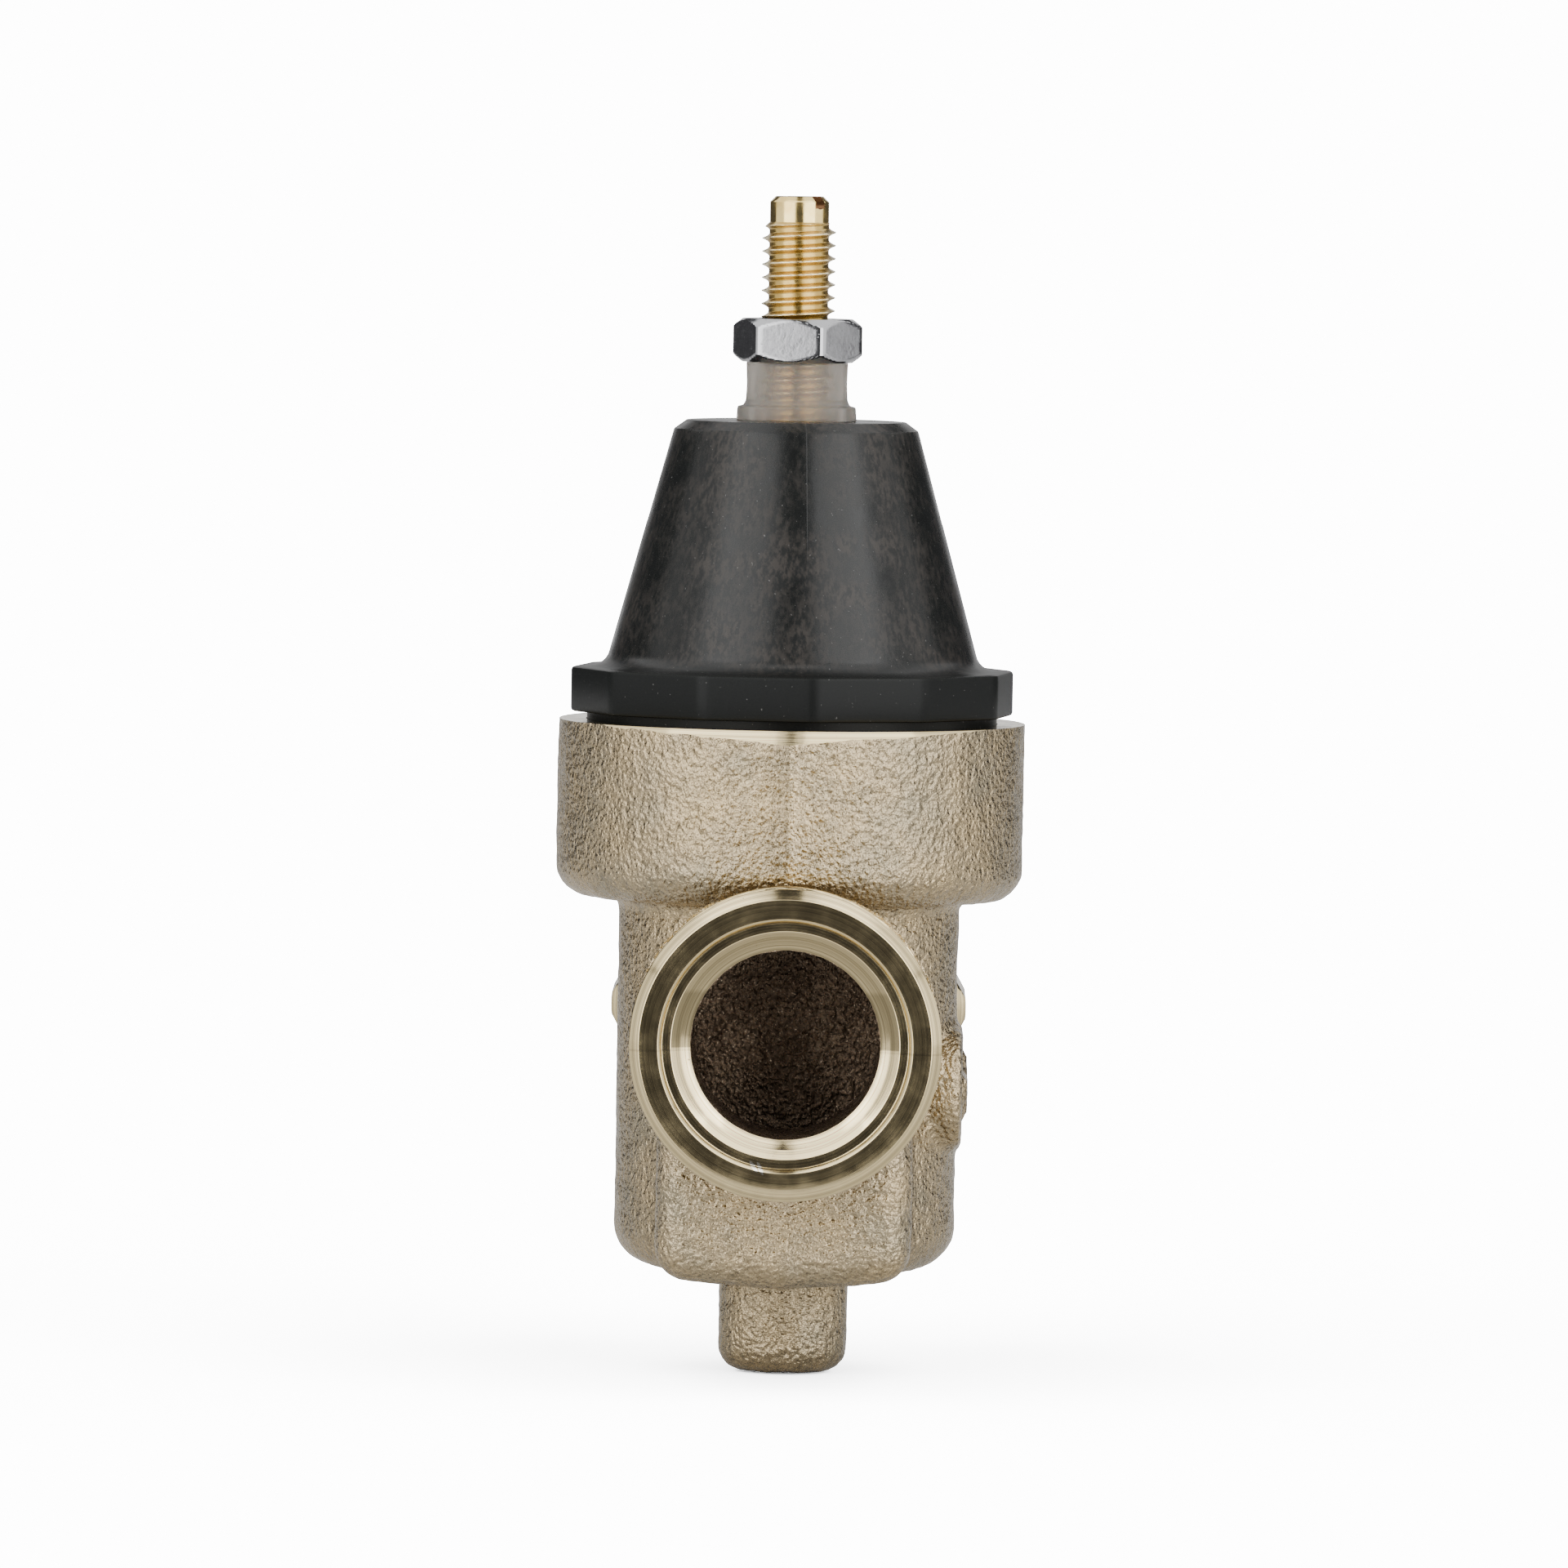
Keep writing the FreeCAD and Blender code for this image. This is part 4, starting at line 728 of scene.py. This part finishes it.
def paint_casting(shell):
    """Cast skin outside, dark cast ways inside, bright metal on the rim."""
    mesh = shell.data
    mesh.materials.clear()
    for name in ("cast_bronze", "water_way", "machined_rim"):
        mesh.materials.append(paints[name])
    centres = np.empty(len(mesh.polygons) * 3)
    mesh.polygons.foreach_get("center", centres)
    normals = np.empty(len(mesh.polygons) * 3)
    mesh.polygons.foreach_get("normal", normals)
    x, y, z = centres.reshape(-1, 3).T / MM
    nx, ny, nz = normals.reshape(-1, 3).T
    upright = np.hypot(x, y - REACH)
    flow = np.hypot(x, z)
    inwards = (nx * x + ny * (y - REACH)) < 0
    kinds = np.zeros(len(mesh.polygons), np.int32)
    ways = ((flow < 10.6) & (y < 68.6)) | ((upright < 15.05) & (z < 14.2) & (z > -36.0) & inwards)
    kinds[ways] = 1
    top = np.abs(z - RIM) < 0.02
    chamfer = ((np.abs((RIM - z) - (upright - BEVEL) * STEEP) < 0.03) & (upright > BEVEL - 0.1)
               & (np.abs(nz - 0.5) < 0.05))
    bored = (z > 14.5) & (upright < 22.4) & ~ways
    kinds[top | chamfer | bored] = 2
    mesh.polygons.foreach_set("material_index", kinds)
    shade(mesh, 42)
    work = bmesh.new()
    work.from_mesh(mesh)
    for edge in work.edges:
        if len({face.material_index for face in edge.link_faces}) > 1:
            edge.smooth = False
    work.to_mesh(mesh)
    work.free()


casting = cast_shell()
shape_casting(casting)
cut_casting(casting)
paint_casting(casting)
settle(casting, "valve_body", "cast_bronze", "body_casting")


def union_end():
    """The turned inlet end: stepped port, end face and union thread."""
    chamfer = 1.1
    inside = softened([(11.4, LIP), (BORE, LIP), (11.1, 2.3), (12.1, 1.5), (13.06, 1.5),
                       (13.06, 0.4), (13.46, 0.0), (UNION_CREST - chamfer, 0.0),
                       (UNION_CREST, chamfer)], 0.06)
    rows = [(11.4, LIP), *inside[4:-4]]
    for height in np.linspace(0.0, UNION_END, 150)[1:]:
        def radius(turn, height=height):
            shape = UNION_CREST - max(chamfer - height, 0.0)
            crest = UNION_CREST - 0.35 * float(smoothstep(chamfer, 3.0, height))
            fade = float(smoothstep(12.9, 11.2, height) * smoothstep(0.8, 2.2, height))
            cut = thread_depth(height, turn, UNION_PITCH, phase=0.2, depth=1.2 * fade,
                               crest=0.10)
            return soft_least(np.full(len(turn), shape), crest - cut, 0.08)
        rows.append((radius, height))
    rows.append((11.4, UNION_END))
    return grid_solid("union_end", rows, circle(256), "y", 50)


ring = union_end()
ring.data.materials.append(paints["machined"])
settle(ring, "valve_body", "cast_bronze", "body_casting")


def outlet_hexagon():
    """The outlet's hexagon with its inner pipe thread."""
    corner = 0.0
    angles = corner_angles(6, corner, 14, 22)
    flats = polygon_radius(6, 34.9, corner)
    back, face = 67.0, 85.0
    rows = []
    for height in np.concatenate([np.linspace(back, 68.4, 8), np.linspace(69.5, 82.5, 6),
                                  np.linspace(83.6, face, 8)]):
        rise = min(height - back, face - height)
        limit = 17.9 + 1.6 * min(rise / 1.2, 1.0)
        rows.append((lambda turn, limit=limit: soft_least(flats(turn), limit, 0.12), height))
    for height in np.linspace(face, 71.2, 110):
        lead = 13.45 - (face - height) if height > 83.6 else 0.0
        minor = 11.45 + (height - 71.0) / 32
        rows.append((lambda turn, height=height, lead=lead, minor=minor: np.maximum(
            minor + thread_depth(height, turn, OUTLET_PITCH, phase=0.1, depth=1.0, crest=0.12),
            lead), height))
    rows += [(11.3, 71.0), (BORE, 71.0), (BORE, back)]
    return grid_solid("outlet_hexagon", rows, angles, "y", 30)


hexagon = outlet_hexagon()
hexagon.data.materials.append(paints["machined"])
settle(hexagon, "valve_body", "cast_bronze", "body_casting")


# ---------------------------------------------------------------- spring cage
def cage_shell():
    """The cone with its twelve-sided flange, spring space and vent hole."""
    corner = math.radians(-90 + 6.24)
    angles = corner_angles(12, corner, 9, 9)
    sides = polygon_radius(12, 46.5, corner)
    rows = [(16.8, 24.1), (22.15, 24.1), (22.15, 33.5)]
    for inset, height in ((0.35, 33.5), (0.10, 33.6), (0.0, 33.85), (0.0, 35.9), (0.0, 37.95),
                          (0.10, 38.2), (0.35, 38.3)):
        rows.append((lambda turn, inset=inset: sides(turn) - inset, height))
    foot, foot_level = 20.27, 38.3      # where the cone leaves the flange
    brow, brow_level = 13.2, 64.1       # the cone's upper edge
    fillet = 1.75
    slope = (foot - brow) / (brow_level - foot_level)
    for step in range(7):
        share = step / 6
        rows.append((foot + fillet * (1 - math.sin(share * math.pi / 2)) - slope * fillet * share,
                     foot_level + fillet * (1 - math.cos(share * math.pi / 2))))
    for height in np.linspace(41.0, 63.9, 12):
        rows.append((foot - slope * (height - foot_level), height))
    rows += softened([(brow, brow_level), (11.8, ROOF)], 0.10)[2:-1]
    rows += [(6.0, ROOF), (6.0, 60.0), (11.5, 60.0), (16.8, 39.0)]
    shell = grid_solid("cage_shell", rows, angles, "z", 24)
    vent = lathe("cut_vent", [(0, 59), (0.9, 59), (0.9, 66), (0, 66)], "z", 32, 0)
    points = read_points(vent.data)
    write_points(vent.data, points + np.array([9.6, 3.5, 0.0]))
    subtract(shell, vent)
    shade(shell.data, 24)
    return shell


settle(cage_shell(), "valve_body", "cage_plastic", "spring_cage")


# ---------------------------------------------------------------- screw, nut and sleeve
def adjuster():
    """The adjusting screw with its rolled thread, plain end, and milled slot."""
    slot_half, slot_floor = 0.65, 88.55

    def limit(height):
        return float(np.interp(height, (53.5, 55.1, 85.75, 86.5, 88.62, 88.7, 89.22, 89.3),
                               (2.35, SCREW_CREST, SCREW_CREST, 3.2, 3.2, 3.17, 2.65, 2.55)))
    rows = [(0.0, 53.5)]
    levels = np.concatenate([np.linspace(53.5, 86.5, 540), [87.2, 88.0, slot_floor, 88.62, 88.7,
                                                            88.9, 89.1, 89.22, 89.3]])
    for height in levels:
        shape = limit(height)
        rows.append((lambda turn, height=height, shape=shape: soft_least(
            SCREW_CREST - thread_depth(height, turn, SCREW_PITCH, phase=-0.045, depth=0.76,
                                       crest=0.07, root=0.80),
            np.full(len(turn), shape), 0.05), height))
    rows.append((0.0, 89.3))
    screw = grid_solid("adjuster", rows, circle(112), "z", 40)
    slot = box_object("cut_slot", (-slot_half, -6, slot_floor), (slot_half, 6, 91))
    floor = lathe("cut_floor", [(0, -6), (slot_half, -6), (slot_half, 6), (0, 6)], "y", 32, 0)
    write_points(floor.data, read_points(floor.data) + np.array([0, 0, slot_floor]))
    turn = Matrix.Translation((0, CENTRE, 0)) @ Matrix.Rotation(math.radians(45), 4, "Z")
    for cutter in (slot, floor):
        cutter.data.transform(turn)
        subtract(screw, cutter)
    screw.data.materials.clear()
    for name in ("screw_brass", "pilot_brass", "slot_brass"):
        screw.data.materials.append(paints[name])
    back = turn.inverted()
    # the slot's faces take the near-black brass as painted shade
    for face in screw.data.polygons:
        middle = back @ face.center / MM
        slotted = (abs(middle.x) < slot_half + 0.01 and abs(middle.y) < 3.3
                   and slot_floor - 0.70 < middle.z < 89.28)
        face.material_index = 2 if slotted else int(middle.z > 86.5)
    shade(screw.data, 40)
    return screw


settle(adjuster(), "adjusting_screw", "screw_brass", "adjusting_screw")


def jam_nut():
    """A hexagon nut chamfered at both ends."""
    corner = math.radians(-90 + 21.95)
    angles = corner_angles(6, corner, 14, 26)
    flats = polygon_radius(6, 12.4, corner, 1 / 60)
    rises = (0.0, 0.05, 0.12, 0.22, 0.34, 0.48, 0.65, 0.85, 1.1, 1.5, 2.35)
    levels = [(NUT_LOW + rise, rise) for rise in rises]
    levels += [(NUT_HIGH - rise, rise) for rise in rises[-2::-1]]
    rows = [(4.0, NUT_LOW + 0.5), (4.45, NUT_LOW)]
    for height, rise in levels:
        rows.append((lambda turn, rise=rise: soft_least(flats(turn), 5.95 + rise * 1.35, 0.14),
                     height))
    rows += [(4.45, NUT_HIGH), (4.0, NUT_HIGH - 0.5)]
    return grid_solid("jam_nut", rows, angles, "z", 28)


settle(jam_nut(), "locknut", "nut_chrome", "locknut")

sleeve = lathe("sleeve", [(4.1, ROOF), (6.5, ROOF), (6.4, 66.6), (5.75, 66.75), (5.5, 67.3),
                          (5.42, 69.0), (5.5, NUT_LOW), (4.1, NUT_LOW)], "z", 128, 0.2, 60)
settle(sleeve, "valve_body", "sleeve_nylon", "seal_sleeve")


# ---------------------------------------------------------------- springs and diaphragm
def coil(name, mean, wire, turns, low, high, ground=0.75):
    """A coil spring with closed, ground ends."""
    steps, sides = 48, 16
    count = int(turns * steps) + 1
    travel = np.linspace(0, turns, count)
    rise = (high - low) - 2 * wire
    # the end turns lie almost flat
    ease = np.clip(travel / turns, 0, 1)
    lead = np.interp(travel, (0, ground, turns - ground, turns),
                     (0, wire * 0.6 / rise, 1 - wire * 0.6 / rise, 1))
    heights = low + wire + rise * (0.85 * lead + 0.15 * ease)
    points, faces = [], []
    for turn, height in zip(travel, heights):
        angle = turn * 2 * math.pi - math.pi / 2
        for side in range(sides):
            around = side * 2 * math.pi / sides
            radius = mean + wire * math.cos(around)
            level = np.clip(height + wire * math.sin(around), low, high)
            points.append(place("z", radius, angle, level))
    for ring_index in range(count - 1):
        for side in range(sides):
            here, on = ring_index * sides + side, ring_index * sides + (side + 1) % sides
            faces.append((here, on, on + sides, here + sides))
    faces.append(tuple(range(sides)))
    faces.append(tuple(range((count - 1) * sides, count * sides)))
    return mesh_object(name, points, faces, 60)


range_coil = settle(coil("range_coil", 9.4, 1.3, 5.0, 24.7, 52.0), "valve_body",
                    "spring_steel", "range_spring")
poppet_coil = settle(coil("poppet_coil", 3.2, 0.4, 3.5, -35.2, -28.0), "valve_body",
                     "spring_steel", "poppet_spring")


def diaphragm_sector(index):
    """A sector of the diaphragm, from its middle out to its clamped rim."""
    profile = softened([
        (2.45, 21.5), (15.7, 21.5), (16.5, 22.15), (17.15, 22.4), (17.8, 22.15), (18.6, 21.5),
        (21.7, 21.5), (21.7, 23.1), (18.6, 23.1), (17.9, 23.8), (17.15, 24.0), (16.4, 23.8),
        (15.7, 23.1), (2.45, 23.1)], 0.25)
    width = 9
    start = index * 2 * math.pi / SECTORS
    angles = np.linspace(start, start + 2 * math.pi / SECTORS, width)
    points = [place("z", radius, angle, height) for radius, height in profile
              for angle in angles]
    count = len(profile)
    faces = []
    for row in range(count):
        here, on = row * width, (row + 1) % count * width
        faces += [(here + k, here + k + 1, on + k + 1, on + k) for k in range(width - 1)]
    faces += [tuple(range(0, count * width, width)),
              tuple(range(width - 1, count * width, width))]
    sector = mesh_object(f"diaphragm_{index:02d}", points, faces, 60)
    sector.data.materials.append(paints["diaphragm_rubber"])
    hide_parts("diaphragm")
    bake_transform(sector)


for index in range(SECTORS):
    diaphragm_sector(index)
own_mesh(range_coil)
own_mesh(poppet_coil)

# the CAD solids that no piece stands for are shown as they are, with their slot's paint
slots = {entry["node"]: entry["material_slot"] for entry in frame["record"]["subparts"]}
for node, thing in frame["nodes"].items():
    thing.data.materials.clear()
    thing.data.materials.append(paints[slots[node]])

# ---------------------------------------------------------------- camera, floor and light
LENS = 335.0
ROLL = 0.88           # degrees
AIM = Vector((-0.00074, CENTRE, 0.0258))
EYE = Vector((0.0068, CENTRE - 1.575, 0.103))
camera_data = bpy.data.cameras.new("camera")
camera_data.lens = LENS
camera_data.sensor_width = 36.0
camera_data.clip_end = 20.0
camera = bpy.data.objects.new("camera", camera_data)
bpy.context.scene.collection.objects.link(camera)
look = (AIM - EYE).to_track_quat("-Z", "Y")
camera.matrix_world = (Matrix.Translation(EYE) @ look.to_matrix().to_4x4()
                       @ Matrix.Rotation(math.radians(ROLL), 4, "Z"))
bpy.context.scene.camera = camera

# the floor ends a little in front, as the port's flats mirror what lies beyond it
paper = moulded_paint("pale_paper", (0.50, 0.50, 0.50), 0.8, 2.0)
floor = mesh_object("floor", [(x, y, FLOOR - 0.2) for x, y in
                              ((-3000, -150), (3000, -150), (3000, 3000), (-3000, 3000))],
                    [(0, 1, 2, 3)])
floor.data.materials.append(paper)
floor.is_shadow_catcher = True


def soft_light(name, turn, lift, size, radiance, distance=1.0):
    """A panel that faces the valve, turned from the front towards +X and lifted, in degrees."""
    middle = Vector((0.0, CENTRE, 0.02))
    turn, lift = math.radians(turn), math.radians(lift)
    way = Vector((math.sin(turn) * math.cos(lift), -math.cos(turn) * math.cos(lift),
                  math.sin(lift)))
    data = bpy.data.lights.new(name, "AREA")
    data.shape = "RECTANGLE"
    data.size, data.size_y = size
    data.energy = radiance * math.pi * size[0] * size[1]
    lamp = bpy.data.objects.new(name, data)
    bpy.context.scene.collection.objects.link(lamp)
    lamp.location = middle + way * distance
    lamp.rotation_euler = (-way).to_track_quat("-Z", "Y").to_euler()
    lamp.visible_camera = False


for side, share in ((-1, 1.0), (1, 1.06)):
    label = "left" if side < 0 else "right"
    soft_light(f"{label}_front", side * 39, 8, (0.83, 1.2), 4.3 * share)
    soft_light(f"{label}_side", side * 81.3, 5, (0.80, 0.70), 1.6 + 0.28 * side)
    soft_light(f"{label}_top", side * 90, 55, (1.6, 1.1), 1.8)
    soft_light(f"{label}_top_front", side * 45, 57, (0.8, 0.75), 1.5)
soft_light("back", 180, 8, (1.0, 0.7), 1.0, 1.3)

world = bpy.data.worlds.new("studio")
world.use_nodes = True
nodes = world.node_tree.nodes
room = nodes["Background"]
room.inputs["Color"].default_value = (0.95, 0.95, 1.0, 1)
room.inputs["Strength"].default_value = 0.09
white = nodes.new("ShaderNodeBackground")
white.inputs["Color"].default_value = (1, 1, 1, 1)
white.inputs["Strength"].default_value = 14.0
seen = nodes.new("ShaderNodeMixShader")
links = world.node_tree.links
links.new(nodes.new("ShaderNodeLightPath").outputs["Is Camera Ray"], seen.inputs[0])
links.new(room.outputs[0], seen.inputs[1])
links.new(white.outputs[0], seen.inputs[2])
links.new(seen.outputs[0], nodes["World Output"].inputs["Surface"])
bpy.context.scene.world = world
